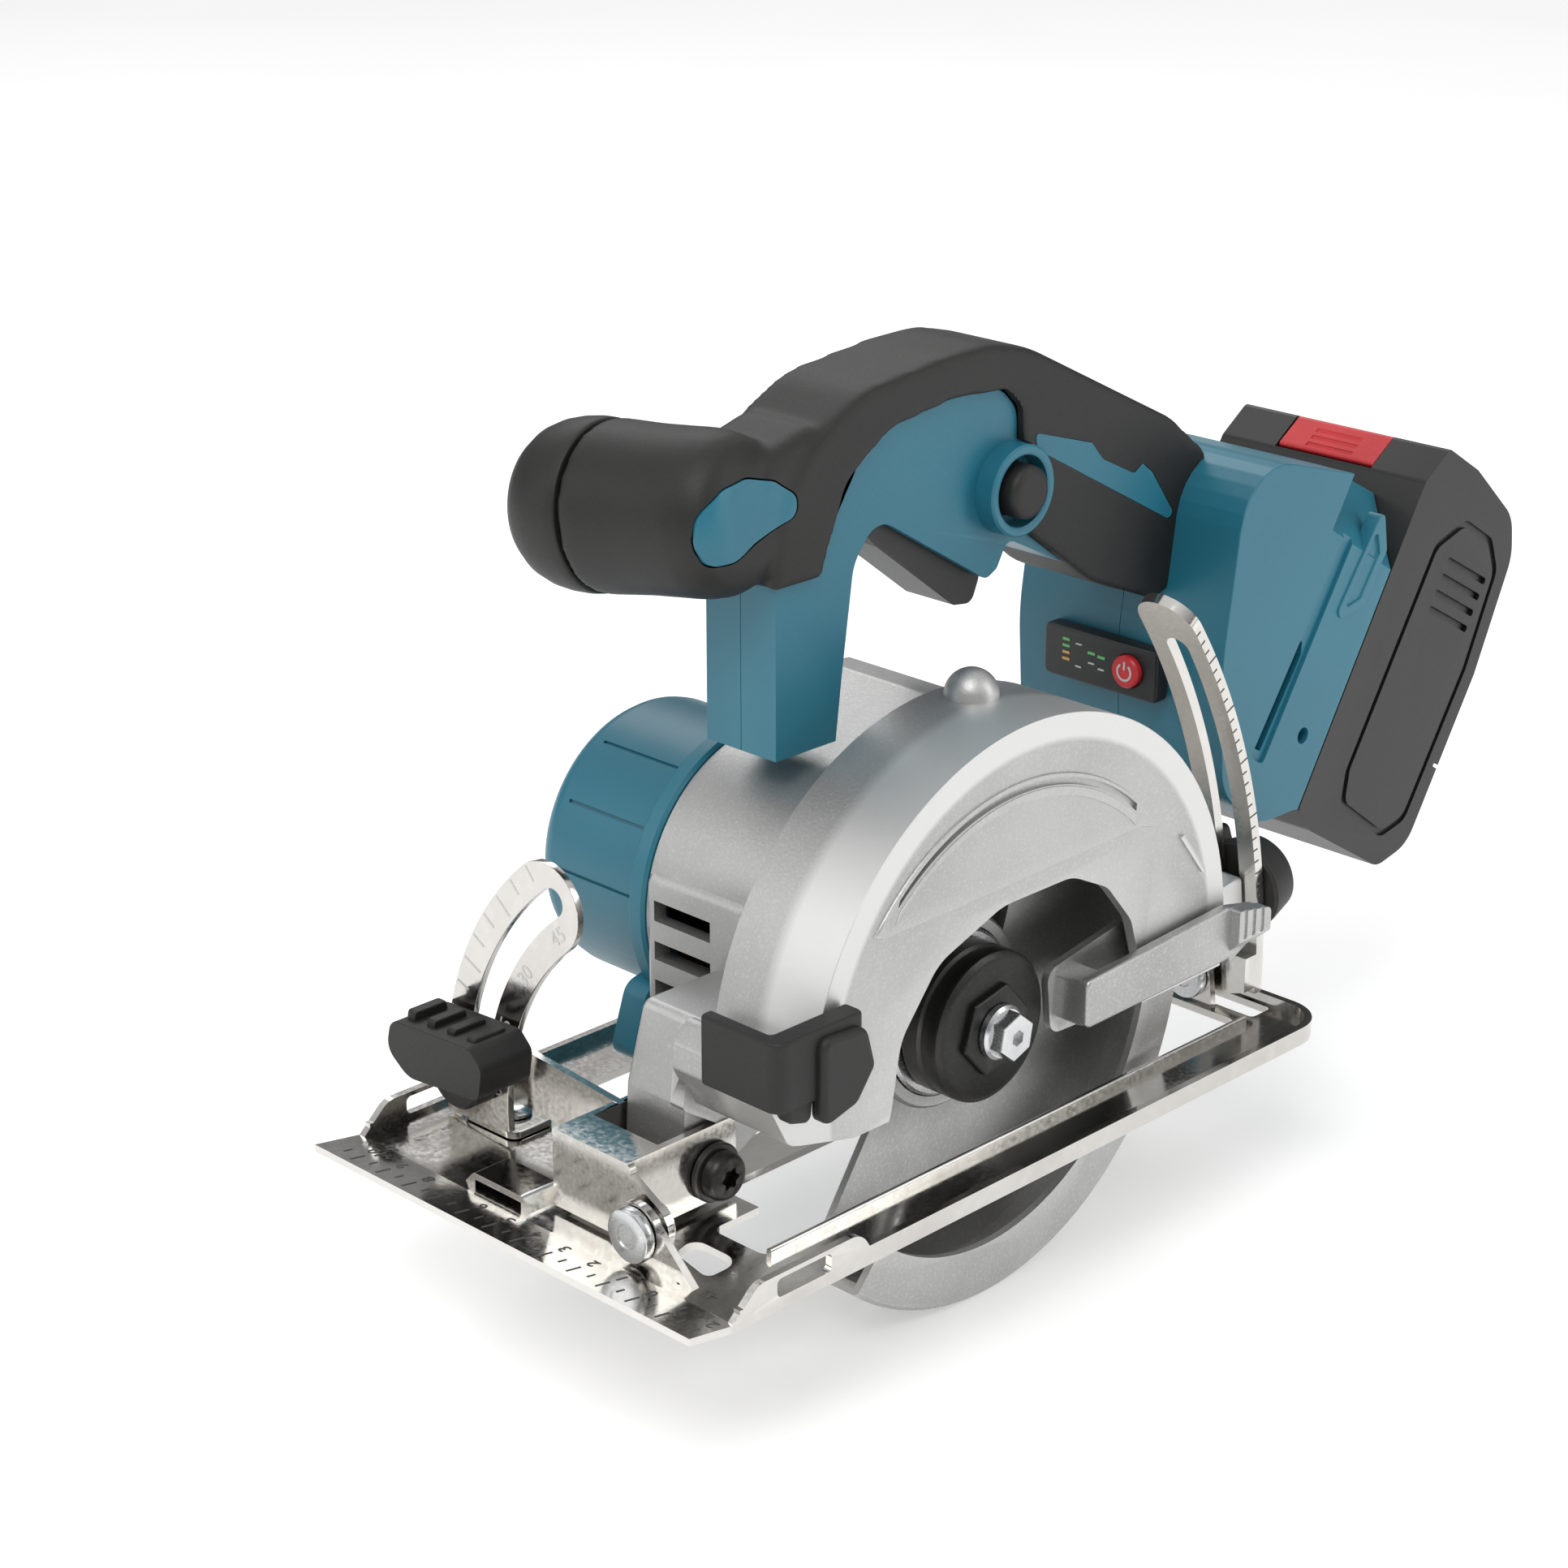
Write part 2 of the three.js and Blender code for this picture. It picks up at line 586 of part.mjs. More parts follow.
// The charge display, with the well that the power button sinks into.
function displayPanel() {
  const well = rodX(buttonY, buttonZ, buttonRadius + gap, 229, 232.8);
  return cut(box(230, 234.4, 56, 96, 82, 97), well);
}

// The room that the two handle shells take up, with the gap round them.
function handleCore() {
  return alongY(handleOutline, handleMiddle - handleHalf - gap, handleMiddle + handleHalf + gap, 0, gap);
}

function gripOvermould() {
  const topStrip = [
    [88, 146], [104, 146], [112, 168], [128, 178], [150, 181], [170, 180], [176, 174], [178, 142],
    [206, 121.6], [233, 110.6], [248, 116], [254, 147], [237, 160.4], [207, 175.4], [179, 189.4],
    [164, 193], [148, 192.4], [119, 189.4], [104, 182], [91.6, 166],
  ];
  const skin = alongY(topStrip, handleMiddle - handleHalf - 2.4, handleMiddle + handleHalf + 2.4, 3);
  const bulb = alongY(bulbOutline, bulbLeft - gap, bulbRight + gap, 10, gap);
  const body = join(skin, frontGrip(0, 44));
  return cut(
    body, handleCore(), bulb,
    rodY(173, 154, 12.4, 50, 72, 28),
    alongY(insertOutline, 50, 60.6, 0, gap),
    kidney(gap),
  );
}

const insertOutline = [[189, 171], [206, 163], [212, 152], [222, 149], [231, 148], [234, 134], [226, 137]];

// The front grip's body of turning, from its near end at s0 to s1 along its own axis.
function frontGrip(s0, s1) {
  const radius = [
    [0, 13.5], [2, 17], [6, 19.4], [14, 20.4], [28, 20.6], [42, 21.4], [43, 20.8], [44, 21.6],
    [54, 21], [61, 17.4], [65, 11], [67, 0.01],
  ];
  const points = [new THREE.Vector2(0, s0)];
  for (const [s, r] of radius) if (s >= s0 && s <= s1) points.push(new THREE.Vector2(r, s));
  points.push(new THREE.Vector2(0, s1));
  const g = new THREE.LatheGeometry(points, 32);
  return solid(alongGrip(g));
}

function alongGrip(g) {
  const axis = new THREE.Vector3(-9, 62, -7).normalize();
  g.applyQuaternion(new THREE.Quaternion().setFromUnitVectors(new THREE.Vector3(0, 1, 0), axis));
  return g.translate(81, 60, 166);
}

// The bean-shaped inlay in the front grip's near end.
function kidney(grow) {
  const shape = [[-20, -4], [-16, 6], [-6, 11], [6, 11], [10, 6], [4, 1], [-6, -2], [-14, -10]];
  const g = slab(shape, 5.6 + grow, 0, grow).rotateX(Math.PI / 2);
  return solid(alongGrip(g.translate(2, 5 + grow, -3)));
}

function trigger() {
  const side = [[126, 160], [124, 152], [129, 147], [158, 125], [165, 124], [168, 131], [161, 141], [134, 161]];
  return cut(alongY(side, 66, 82, 1), rodY(129.5, 156, 2.2, 60, 90, 16));
}

// ---- battery ----
function batteryCase() {
  const side = [[0.6, 0], [10, -4], [50, -4], [61, 6], [62, 60], [58, 96], [50, 106], [24, 111], [0.6, 111]];
  let body = packSlab(side, bulbLeft, bulbRight, 8);
  const groove = packBox(60, 66, 30, 32, 52, 96);
  for (let i = 0; i < 3; i++) body = cut(body, packBox(59.5, 66, 62 + 9 * i, 66 + 9 * i, 52, 96));
  body = cut(body, groove, packBox(9, 54, 6, 100, 46, 102), packBox(-1, 11.8, 99.2, 113, 57, 91), packBox(10, 24, 20, 30, 46, 102));
  return cut(body, packBox(-1, 12, 20, 84, 66, 82));
}

function chipDeflector() {
  const front = upwards([[35.4, 7], [64, 7], [64, 13.4], [39.4, 13.4], [39.4, 33], [35.4, 33]], 44, 62, 1.2);
  const lobe = alongY([[48, 37], [60, 40], [66, 48], [62, 58], [48, 60]], 4.6, 8.2, 1.2);
  return join(front, lobe);
}

// ---- the parts, grouped as they move ----
const saw = new THREE.Group();

function add(...meshes) {
  const group = new THREE.Group();
  group.add(...meshes);
  saw.add(group);
}

add(
  meshOf("base_plate", basePlate(), chrome),
  meshOf("bevel_scale_plate", bevelScale(), chrome),
  meshOf("bevel_scale_rivet", join(rodZ(47, 113, 2.4, 0.2, 5), rodZ(47, 113, 4.4, 4.5, 6.4)), steel),
  rivetX("front_bevel_rivet", 15.2, 26.4, 7),
  rivetX("rear_bevel_rivet", 222.3, 233.5, 6.4),
);

const fixedHex = rodY(depthX, depthZ, 6, 71, 74.6, 6);
add(
  meshOf("front_bracket", frontBracket(), chrome),
  meshOf("bevel_clamp_screw", bevelClampScrew(), blackSteel),
  meshOf("depth_guide", depthGuide(), chrome),
  screwY("depth_pivot_screw", depthX, depthZ, 6.2, depthPinRadius, 37.6, 41.5, 70.6),
  meshOf("depth_pivot_washer", cut(rodY(depthX, depthZ, 7.6, 41.9, 43.7), rodY(depthX, depthZ, 3.4, 40, 46)), steel),
  meshOf("depth_pivot_nut", cut(fixedHex, rodY(depthX, depthZ, 2.2, 69, 72, 12)), steel),
);
add(meshOf("bevel_lever", bevelLever(), black));

const shells = handleShells();
add(
  meshOf("gear_housing", gearHousing(), casting),
  meshOf("guard_hub_ring", guardHubRing(), steel),
  meshOf("chip_deflector", chipDeflector(), rubber),
  meshOf("depth_clamp_screw", depthClampScrew(), blackSteel),
  meshOf("motor_housing", motorHousing(), teal),
  screwY("motor_housing_screw", 76, 25, 4.2, 1.9, 88.3, 92, 99),
  meshOf("stator", stator(), copper),
  bearing("spindle_bearing", arborX, arborZ, 6.3, 8.3, 46, 53),
  bearing("rotor_bearing", motorX, motorZ, 3.7, 8.7, 130.5, 137.5),
  meshOf("handle_left", shells.left, teal),
  meshOf("handle_right", shells.right, teal),
  meshOf("grip_overmould", gripOvermould(), rubber),
  meshOf("front_grip_cap", frontGrip(44, 67).translate([-0.05, 0.35, -0.05]), rubber),
  meshOf("front_grip_insert", cut(kidney(0), handleCore()), teal),
  meshOf("rear_grip_insert", alongY(insertOutline, 59.2, 60.3), teal),
  meshOf("trigger_switch", box(140, 160, 67, 81, 160, 171), black),
  meshOf("control_board", box(244.6, 247, 52, 96, 75, 120), board),
  meshOf("display_panel", displayPanel(), black),
);
add(meshOf("trigger", trigger(), black));
add(meshOf("lock_off_button", rodY(173, 154, 7, 53, 64, 24), black));
add(meshOf("power_button", rodX(buttonY, buttonZ, buttonRadius, 228.2, 230.9), red));
add(meshOf("depth_lever", depthLever(), black));
add(meshOf("lower_guard", lowerGuard(), casting));
add(
  meshOf("spindle", spindle(), steel),
  meshOf("inner_flange", flange(26.4, 33, 6.3), blackSteel),
  meshOf("outer_flange", outerFlange(), blackSteel),
  meshOf("arbor_bolt", arborBolt(), steel),
  meshOf("spindle_gear", gearWheel(arborX, arborZ, gearTeeth, gearFront, gearBack, 6.3, meshTurn * gearTeeth), steel),
);
add(
  meshOf("rotor", rotorShaft(), steel),
  meshOf("pinion", gearWheel(motorX, motorZ, pinionTeeth, gearFront, gearBack, 0, (meshTurn + 0.5) * pinionTeeth + 0.5), steel),
  meshOf("fan", fan(), black),
);
add(
  meshOf("battery_case", batteryCase(), black),
  meshOf("battery_cells", packBox(12, 50, 34, 94, 50, 98), copper),
);
add(meshOf("battery_release_button", packBox(0.9, 9, 99.6, 111.2, 57.4, 90.6), red));

const part = new THREE.Group();
saw.position.set(-originX, -originY, 0);
part.add(saw);
export default part;
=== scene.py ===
import math
import bpy
from mathutils import Matrix, Vector


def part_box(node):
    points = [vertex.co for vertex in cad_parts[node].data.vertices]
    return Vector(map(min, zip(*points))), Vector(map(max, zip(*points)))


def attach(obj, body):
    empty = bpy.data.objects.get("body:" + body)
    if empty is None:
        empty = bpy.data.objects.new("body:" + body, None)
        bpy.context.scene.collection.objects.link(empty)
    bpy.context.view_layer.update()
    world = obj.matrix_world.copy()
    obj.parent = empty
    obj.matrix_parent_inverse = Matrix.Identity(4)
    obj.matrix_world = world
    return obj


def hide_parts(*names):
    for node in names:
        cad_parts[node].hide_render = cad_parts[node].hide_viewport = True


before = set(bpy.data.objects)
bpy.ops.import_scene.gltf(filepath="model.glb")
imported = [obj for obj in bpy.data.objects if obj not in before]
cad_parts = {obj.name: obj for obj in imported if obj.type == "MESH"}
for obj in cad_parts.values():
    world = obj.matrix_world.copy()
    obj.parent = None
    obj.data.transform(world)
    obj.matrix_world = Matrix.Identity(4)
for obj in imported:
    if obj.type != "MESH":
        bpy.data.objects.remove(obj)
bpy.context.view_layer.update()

mm = 0.001
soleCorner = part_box("base_plate")[0]   # front left corner of the sole; all sizes below are mm from it


# places on the saw, in mm from the sole's front left corner
def place(x, y, z):
    return Vector((soleCorner.x + x * mm, soleCorner.y + y * mm, z * mm))


def inMm(spot):
    return Vector(((spot.x - soleCorner.x) / mm, (spot.y - soleCorner.y) / mm, spot.z / mm))


def sideways(a, b, depth):     # outline in length and height, pushed towards the motor
    return place(a, depth, b)


def lengthways(a, b, depth):   # outline in width and height, pushed towards the battery
    return place(depth, a, b)


def upright(a, b, depth):      # outline in length and width, pushed up
    return place(a, b, depth)


battery = {"x": 273, "z": 45, "lean": math.radians(31.5), "left": 38, "right": 110}


def packSide(out, up, depth):  # the battery leans: out from the saw, up along its rails
    lean = battery["lean"]
    x = battery["x"] + out * math.cos(lean) + up * math.sin(lean)
    return place(x, depth, battery["z"] - out * math.sin(lean) + up * math.cos(lean))


def packEnd(across, up, depth):
    return packSide(depth, up, across)


pivot = {"x": 50, "z": 12}       # the screw that the saw head swings on for depth
clampLean = math.radians(7)      # the depth clamp screw points away from that pivot
clampRay = (math.cos(clampLean), 0, math.sin(clampLean))


def clampSide(out, up, depth):  # out along the depth clamp screw
    x = pivot["x"] + out * math.cos(clampLean) - up * math.sin(clampLean)
    return place(x, depth, pivot["z"] + out * math.sin(clampLean) + up * math.cos(clampLean))


# outlines
def arc(cx, cy, radius, start, end, steps=16):
    turns = [math.radians(start + (end - start) * i / steps) for i in range(steps + 1)]
    return [(cx + radius * math.cos(t), cy + radius * math.sin(t)) for t in turns]


def ringPart(cx, cy, inner, outer, start, end, steps=24):
    return arc(cx, cy, outer, start, end, steps) + arc(cx, cy, inner, end, start, steps)


def filleted(corners, steps=7):
    # each corner is (a, b) or (a, b, radius)
    line = []
    for i, corner in enumerate(corners):
        here = Vector(corner[:2])
        radius = corner[2] if len(corner) > 2 else 0
        back = Vector(corners[i - 1][:2]) - here
        on = Vector(corners[(i + 1) % len(corners)][:2]) - here
        if radius == 0 or back.length < 1e-6 or on.length < 1e-6:
            line.append(tuple(here))
            continue
        half = back.angle(on) / 2
        if half > math.radians(89):
            line.append(tuple(here))
            continue
        reach = min(radius / math.tan(half), 0.48 * back.length, 0.48 * on.length)
        radius = reach * math.tan(half)
        middle = here + (back.normalized() + on.normalized()).normalized() * radius / math.sin(half)
        first = (here + back.normalized() * reach - middle).normalized()
        last = (here + on.normalized() * reach - middle).normalized()
        for k in range(steps + 1):
            spot = middle + first.slerp(last, k / steps) * radius
            line.append(tuple(spot))
    return line


def roundedBox(a0, a1, b0, b1, radius, steps=7):
    return filleted([(a0, b0, radius), (a1, b0, radius), (a1, b1, radius), (a0, b1, radius)], steps)


# modelling steps, each one as it is done by hand
def choose(obj):
    if bpy.context.mode != "OBJECT":
        bpy.ops.object.mode_set(mode="OBJECT")
    bpy.ops.object.select_all(action="DESELECT")
    if obj is not None:
        obj.select_set(True)
        bpy.context.view_layer.objects.active = obj


def drawLine(name, spots, closed):
    choose(None)
    bpy.ops.mesh.primitive_plane_add(size=mm, location=spots[0])
    obj = bpy.context.object
    obj.name = name
    bpy.ops.object.mode_set(mode="EDIT")
    bpy.ops.mesh.select_mode(type="VERT")
    bpy.ops.mesh.select_all(action="SELECT")
    bpy.ops.mesh.merge(type="CENTER")
    for before, after in zip(spots, spots[1:]):
        bpy.ops.mesh.extrude_vertices_move(TRANSFORM_OT_translate={"value": after - before})
    bpy.ops.mesh.select_all(action="SELECT")
    if closed:
        bpy.ops.mesh.edge_face_add()
    bpy.ops.object.mode_set(mode="OBJECT")
    bpy.ops.object.transform_apply(location=True, rotation=True, scale=True)
    return obj


def plate(name, outline, way, low, high):
    # a closed outline, filled and extruded from low to high
    obj = drawLine(name, [way(a, b, low) for a, b in outline], True)
    bpy.ops.object.mode_set(mode="EDIT")
    bpy.ops.mesh.select_all(action="SELECT")
    push = way(0, 0, high) - way(0, 0, low)
    bpy.ops.mesh.extrude_region_move(TRANSFORM_OT_translate={"value": push})
    bpy.ops.mesh.select_all(action="SELECT")
    bpy.ops.mesh.normals_make_consistent(inside=False)
    bpy.ops.object.mode_set(mode="OBJECT")
    return obj


def turned(name, profile, centre, axis, outwards, steps=64):
    # profile is (radius, distance along axis) pairs in mm, spun round the axis
    axis, outwards = Vector(axis).normalized(), Vector(outwards).normalized()
    spots = [centre + outwards * r * mm + axis * s * mm for r, s in profile]
    obj = drawLine(name, spots, False)
    bpy.ops.object.mode_set(mode="EDIT")
    bpy.ops.mesh.select_all(action="SELECT")
    bpy.ops.mesh.spin(steps=steps, angle=2 * math.pi, center=centre, axis=axis)
    bpy.ops.mesh.select_all(action="SELECT")
    bpy.ops.mesh.remove_doubles(threshold=0.00001)
    bpy.ops.mesh.normals_make_consistent(inside=False)
    bpy.ops.object.mode_set(mode="OBJECT")
    return obj


def turnedY(name, x, z, profile, steps=64):
    return turned(name, profile, place(x, 0, z), (0, 1, 0), (1, 0, 0), steps)


def turnedX(name, y, z, profile, steps=48):
    return turned(name, profile, place(0, y, z), (1, 0, 0), (0, 1, 0), steps)


def turnedZ(name, x, y, profile, steps=32):
    return turned(name, profile, place(x, y, 0), (0, 0, 1), (1, 0, 0), steps)


def barProfile(radius, low, high, edge=0.0):
    # a solid round bar, its ends chamfered by edge
    return [(0, low), (radius - edge, low), (radius, low + edge),
            (radius, high - edge), (radius - edge, high), (0, high)]


def pin(name, x, z, radius, low, high, edge=0.0, steps=48):
    return turnedY(name, x, z, barProfile(radius, low, high, edge), steps)


def pinX(name, y, z, radius, low, high, edge=0.0, steps=40):
    return turnedX(name, y, z, barProfile(radius, low, high, edge), steps)


def block(name, x0, x1, y0, y1, z0, z1):
    return plate(name, [(x0, z0), (x1, z0), (x1, z1), (x0, z1)], sideways, y0, y1)


def combine(obj, others, operation):
    for other in others:
        choose(obj)
        bpy.ops.object.modifier_add(type="BOOLEAN")
        step = obj.modifiers[-1]
        step.operation = operation
        step.solver = "EXACT"
        step.object = other
        bpy.ops.object.modifier_apply(modifier=step.name)
        choose(other)
        bpy.ops.object.delete()
    return obj


def carve(obj, *others):
    return combine(obj, others, "DIFFERENCE")


def weld(obj, *others):
    return combine(obj, others, "UNION")


def gather(obj, *others):
    # several shells in one piece
    choose(obj)
    for other in others:
        other.select_set(True)
    bpy.ops.object.join()
    return obj


def pickEdges(obj, test):
    choose(obj)
    bpy.ops.object.mode_set(mode="EDIT")
    bpy.ops.mesh.select_mode(type="EDGE")
    bpy.ops.mesh.select_all(action="DESELECT")
    bpy.ops.object.mode_set(mode="OBJECT")
    spots = [inMm(v.co) for v in obj.data.vertices]
    for edge in obj.data.edges:
        edge.select = test(spots[edge.vertices[0]]) and test(spots[edge.vertices[1]])
    bpy.ops.object.mode_set(mode="EDIT")


def roundEdges(obj, width, segments, test):
    # rolls over every edge with both ends where test says
    pickEdges(obj, test)
    bpy.ops.mesh.bevel(offset=width * mm, segments=segments, affect="EDGES", clamp_overlap=True)
    bpy.ops.object.mode_set(mode="OBJECT")
    return obj


def soften(obj, width, segments=2, angle=32):
    choose(obj)
    bpy.ops.object.modifier_add(type="BEVEL")
    step = obj.modifiers[-1]
    step.width = width * mm
    step.segments = segments
    step.limit_method = "ANGLE"
    step.angle_limit = math.radians(angle)
    step.use_clamp_overlap = True
    bpy.ops.object.modifier_apply(modifier=step.name)
    return obj


def melt(obj, grain, rounds):
    # one smooth skin over everything in the piece, as on a moulded grip
    choose(obj)
    bpy.ops.object.modifier_add(type="REMESH")
    skin = obj.modifiers[-1]
    skin.mode = "VOXEL"
    skin.voxel_size = grain * mm
    bpy.ops.object.modifier_apply(modifier=skin.name)
    bpy.ops.object.modifier_add(type="SMOOTH")
    rub = obj.modifiers[-1]
    rub.factor = 0.5
    rub.iterations = rounds
    bpy.ops.object.modifier_apply(modifier=rub.name)
    return obj


def tidy(obj, smooth=35, weighted=True):
    choose(obj)
    bpy.ops.object.mode_set(mode="EDIT")
    bpy.ops.mesh.select_all(action="SELECT")
    bpy.ops.mesh.remove_doubles(threshold=0.000004)
    bpy.ops.object.mode_set(mode="OBJECT")
    bpy.ops.object.shade_smooth_by_angle(angle=math.radians(smooth))
    if weighted:
        bpy.ops.object.modifier_add(type="WEIGHTED_NORMAL")
        obj.modifiers[-1].keep_sharp = True
        bpy.ops.object.modifier_apply(modifier=obj.modifiers[-1].name)
    return obj


def finishPiece(obj, name, body, finish):
    obj.name = name
    obj.data.name = name
    obj.data.materials.clear()
    obj.data.materials.append(finish)
    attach(obj, body)


def standFor(obj, node, body, finish):
    # the finished piece is seen in place of the plain node
    finishPiece(obj, node + "_visual", body, finish)
    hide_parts(node)


def facing(spot, right, up):
    # a flat place of its own: right and up across it, depth out of it
    right, up = Vector(right).normalized(), Vector(up).normalized()
    out = right.cross(up)
    return lambda a, b, depth: spot + (right * a + up * b + out * depth) * mm


def stamp(text, spot, right, up, size, thick=0.1):
    choose(None)
    bpy.ops.object.text_add()
    obj = bpy.context.object
    obj.data.body = text
    obj.data.size = size * mm
    obj.data.extrude = thick * mm
    obj.data.align_x = "CENTER"
    obj.data.align_y = "CENTER"
    bpy.ops.object.convert(target="MESH")
    right, up = Vector(right).normalized(), Vector(up).normalized()
    turn = Matrix((right, up, right.cross(up))).transposed().to_4x4()
    obj.matrix_world = Matrix.Translation(spot) @ turn
    bpy.ops.object.transform_apply(location=True, rotation=True, scale=True)
    return obj


def tick(spot, right, up, width, height, thick=0.1):
    half = width / 2
    line = [(-half, 0), (half, 0), (half, height), (-half, height)]
    return plate("tick", line, facing(spot, right, up), -thick, thick)


def hexagon(cx, cy, flats, turn=0):
    return arc(cx, cy, flats / math.sqrt(3), turn, turn + 300, 5)


def copyOf(obj):
    choose(obj)
    bpy.ops.object.duplicate()
    return bpy.context.object


def keepInside(obj, other):
    return combine(obj, [other], "INTERSECT")


# node groups that the finishes are built from
def noise(nodes, links, coords, scale, detail):
    made = nodes.new("ShaderNodeTexNoise")
    made.inputs["Scale"].default_value = scale
    made.inputs["Detail"].default_value = detail
    links.new(coords, made.inputs["Vector"])
    return made.outputs["Fac"]


def ranged(nodes, links, value, low, high, start=0.3, end=0.7):
    made = nodes.new("ShaderNodeMapRange")
    made.inputs["From Min"].default_value = start
    made.inputs["From Max"].default_value = end
    made.inputs["To Min"].default_value = low
    made.inputs["To Max"].default_value = high
    links.new(value, made.inputs["Value"])
    return made.outputs["Result"]


def times(nodes, links, first, second):
    made = nodes.new("ShaderNodeMath")
    made.operation = "MULTIPLY"
    links.new(first, made.inputs[0])
    links.new(second, made.inputs[1])
    return made.outputs["Value"]


def mixed(nodes, links, share, first, second):
    made = nodes.new("ShaderNodeMix")
    made.data_type = "RGBA"
    links.new(share, made.inputs["Factor"])
    for colour, hole in ((first, made.inputs[6]), (second, made.inputs[7])):
        if isinstance(colour, tuple):
            hole.default_value = (*colour, 1)
        else:
            links.new(colour, hole)
    return made.outputs[2]


def vectorStep(nodes, links, operation, value, fixed=None):
    made = nodes.new("ShaderNodeVectorMath")
    made.operation = operation
    if fixed is not None:
        made.inputs[1].default_value = fixed
    links.new(value, made.inputs[0])
    return made.outputs["Value" if operation == "LENGTH" else "Vector"]


def rubbedRim(nodes, links, coords, x, z, radius):
    # 1 on the guard's rolled rim, which is rubbed smooth and given a brighter colour as a painted highlight,
    # and 0 on the faces that keep their cast grain
    apart = vectorStep(nodes, links, "SUBTRACT", coords, place(x, 0, z))
    flat = vectorStep(nodes, links, "MULTIPLY", apart, (1, 0, 1))
    reach = vectorStep(nodes, links, "LENGTH", flat)
    split = nodes.new("ShaderNodeSeparateXYZ")
    links.new(coords, split.inputs["Vector"])
    onRim = ranged(nodes, links, reach, 0, 1, radius * mm, (radius + 1.5) * mm)
    inFront = ranged(nodes, links, split.outputs["Y"], 1, 0, place(0, 30, 0).y, place(0, 34, 0).y)
    return times(nodes, links, onRim, inFront)


def surface(name, look):
    made = bpy.data.materials.new(name)
    made.use_nodes = True
    nodes, links = made.node_tree.nodes, made.node_tree.links
    skin = nodes["Principled BSDF"]
    skin.inputs["Metallic"].default_value = look.get("metal", 0)
    skin.inputs["Coat Weight"].default_value = look.get("coat", 0)
    skin.inputs["Coat Roughness"].default_value = 0.25
    coords = nodes.new("ShaderNodeTexCoord").outputs["Object"]
    brushed = nodes.new("ShaderNodeMapping")
    brushed.inputs["Scale"].default_value = look.get("brushed", (1, 1, 1))
    links.new(coords, brushed.inputs["Vector"])
    patches = noise(nodes, links, coords, look["patch"], 4)
    grain = noise(nodes, links, brushed.outputs["Vector"], look["grain"], 6)
    fine = noise(nodes, links, coords, look["grain"] * 3.1, 3)
    edge = nodes.new("ShaderNodeNewGeometry").outputs["Pointiness"]
    worn = times(nodes, links, ranged(nodes, links, edge, 0, look.get("wear", 0.5), 0.53, 0.62),
                 ranged(nodes, links, patches, 0.3, 1))
    tint = mixed(nodes, links, ranged(nodes, links, patches, 0, 1), look["colour"], look["shade"])
    flecks = ranged(nodes, links, grain, 0, look.get("speckle", 0.3), 0.5, 0.75)
    tint = mixed(nodes, links, flecks, tint, look["fleck"])
    tint = mixed(nodes, links, worn, tint, look["worn"])
    rough = ranged(nodes, links, fine, look["rough"] - look["uneven"], look["rough"] + look["uneven"])
    strength = None
    if "polishAndHighlight" in look:
        # the rolled rim gets a finer grain, and a brighter colour that is a painted highlight
        rimPolishAndHighlightShare = rubbedRim(nodes, links, coords, *look["polishAndHighlight"])
        tint = mixed(nodes, links, rimPolishAndHighlightShare, tint, look["bright"])
        strength = ranged(nodes, links, rimPolishAndHighlightShare, look["bump"], look["bump"] * 0.2, 0, 1)
    links.new(tint, skin.inputs["Base Color"])
    links.new(rough, skin.inputs["Roughness"])
    sway = nodes.new("ShaderNodeBump")
    sway.inputs["Strength"].default_value = 1
    sway.inputs["Distance"].default_value = look.get("sway", 0.02) * mm
    links.new(patches, sway.inputs["Height"])
    bumps = nodes.new("ShaderNodeBump")
    bumps.inputs["Strength"].default_value = look["bump"]
    bumps.inputs["Distance"].default_value = look["height"] * mm
    if strength is not None:
        links.new(strength, bumps.inputs["Strength"])
    links.new(grain, bumps.inputs["Height"])
    links.new(sway.outputs["Normal"], bumps.inputs["Normal"])
    links.new(bumps.outputs["Normal"], skin.inputs["Normal"])
    return made


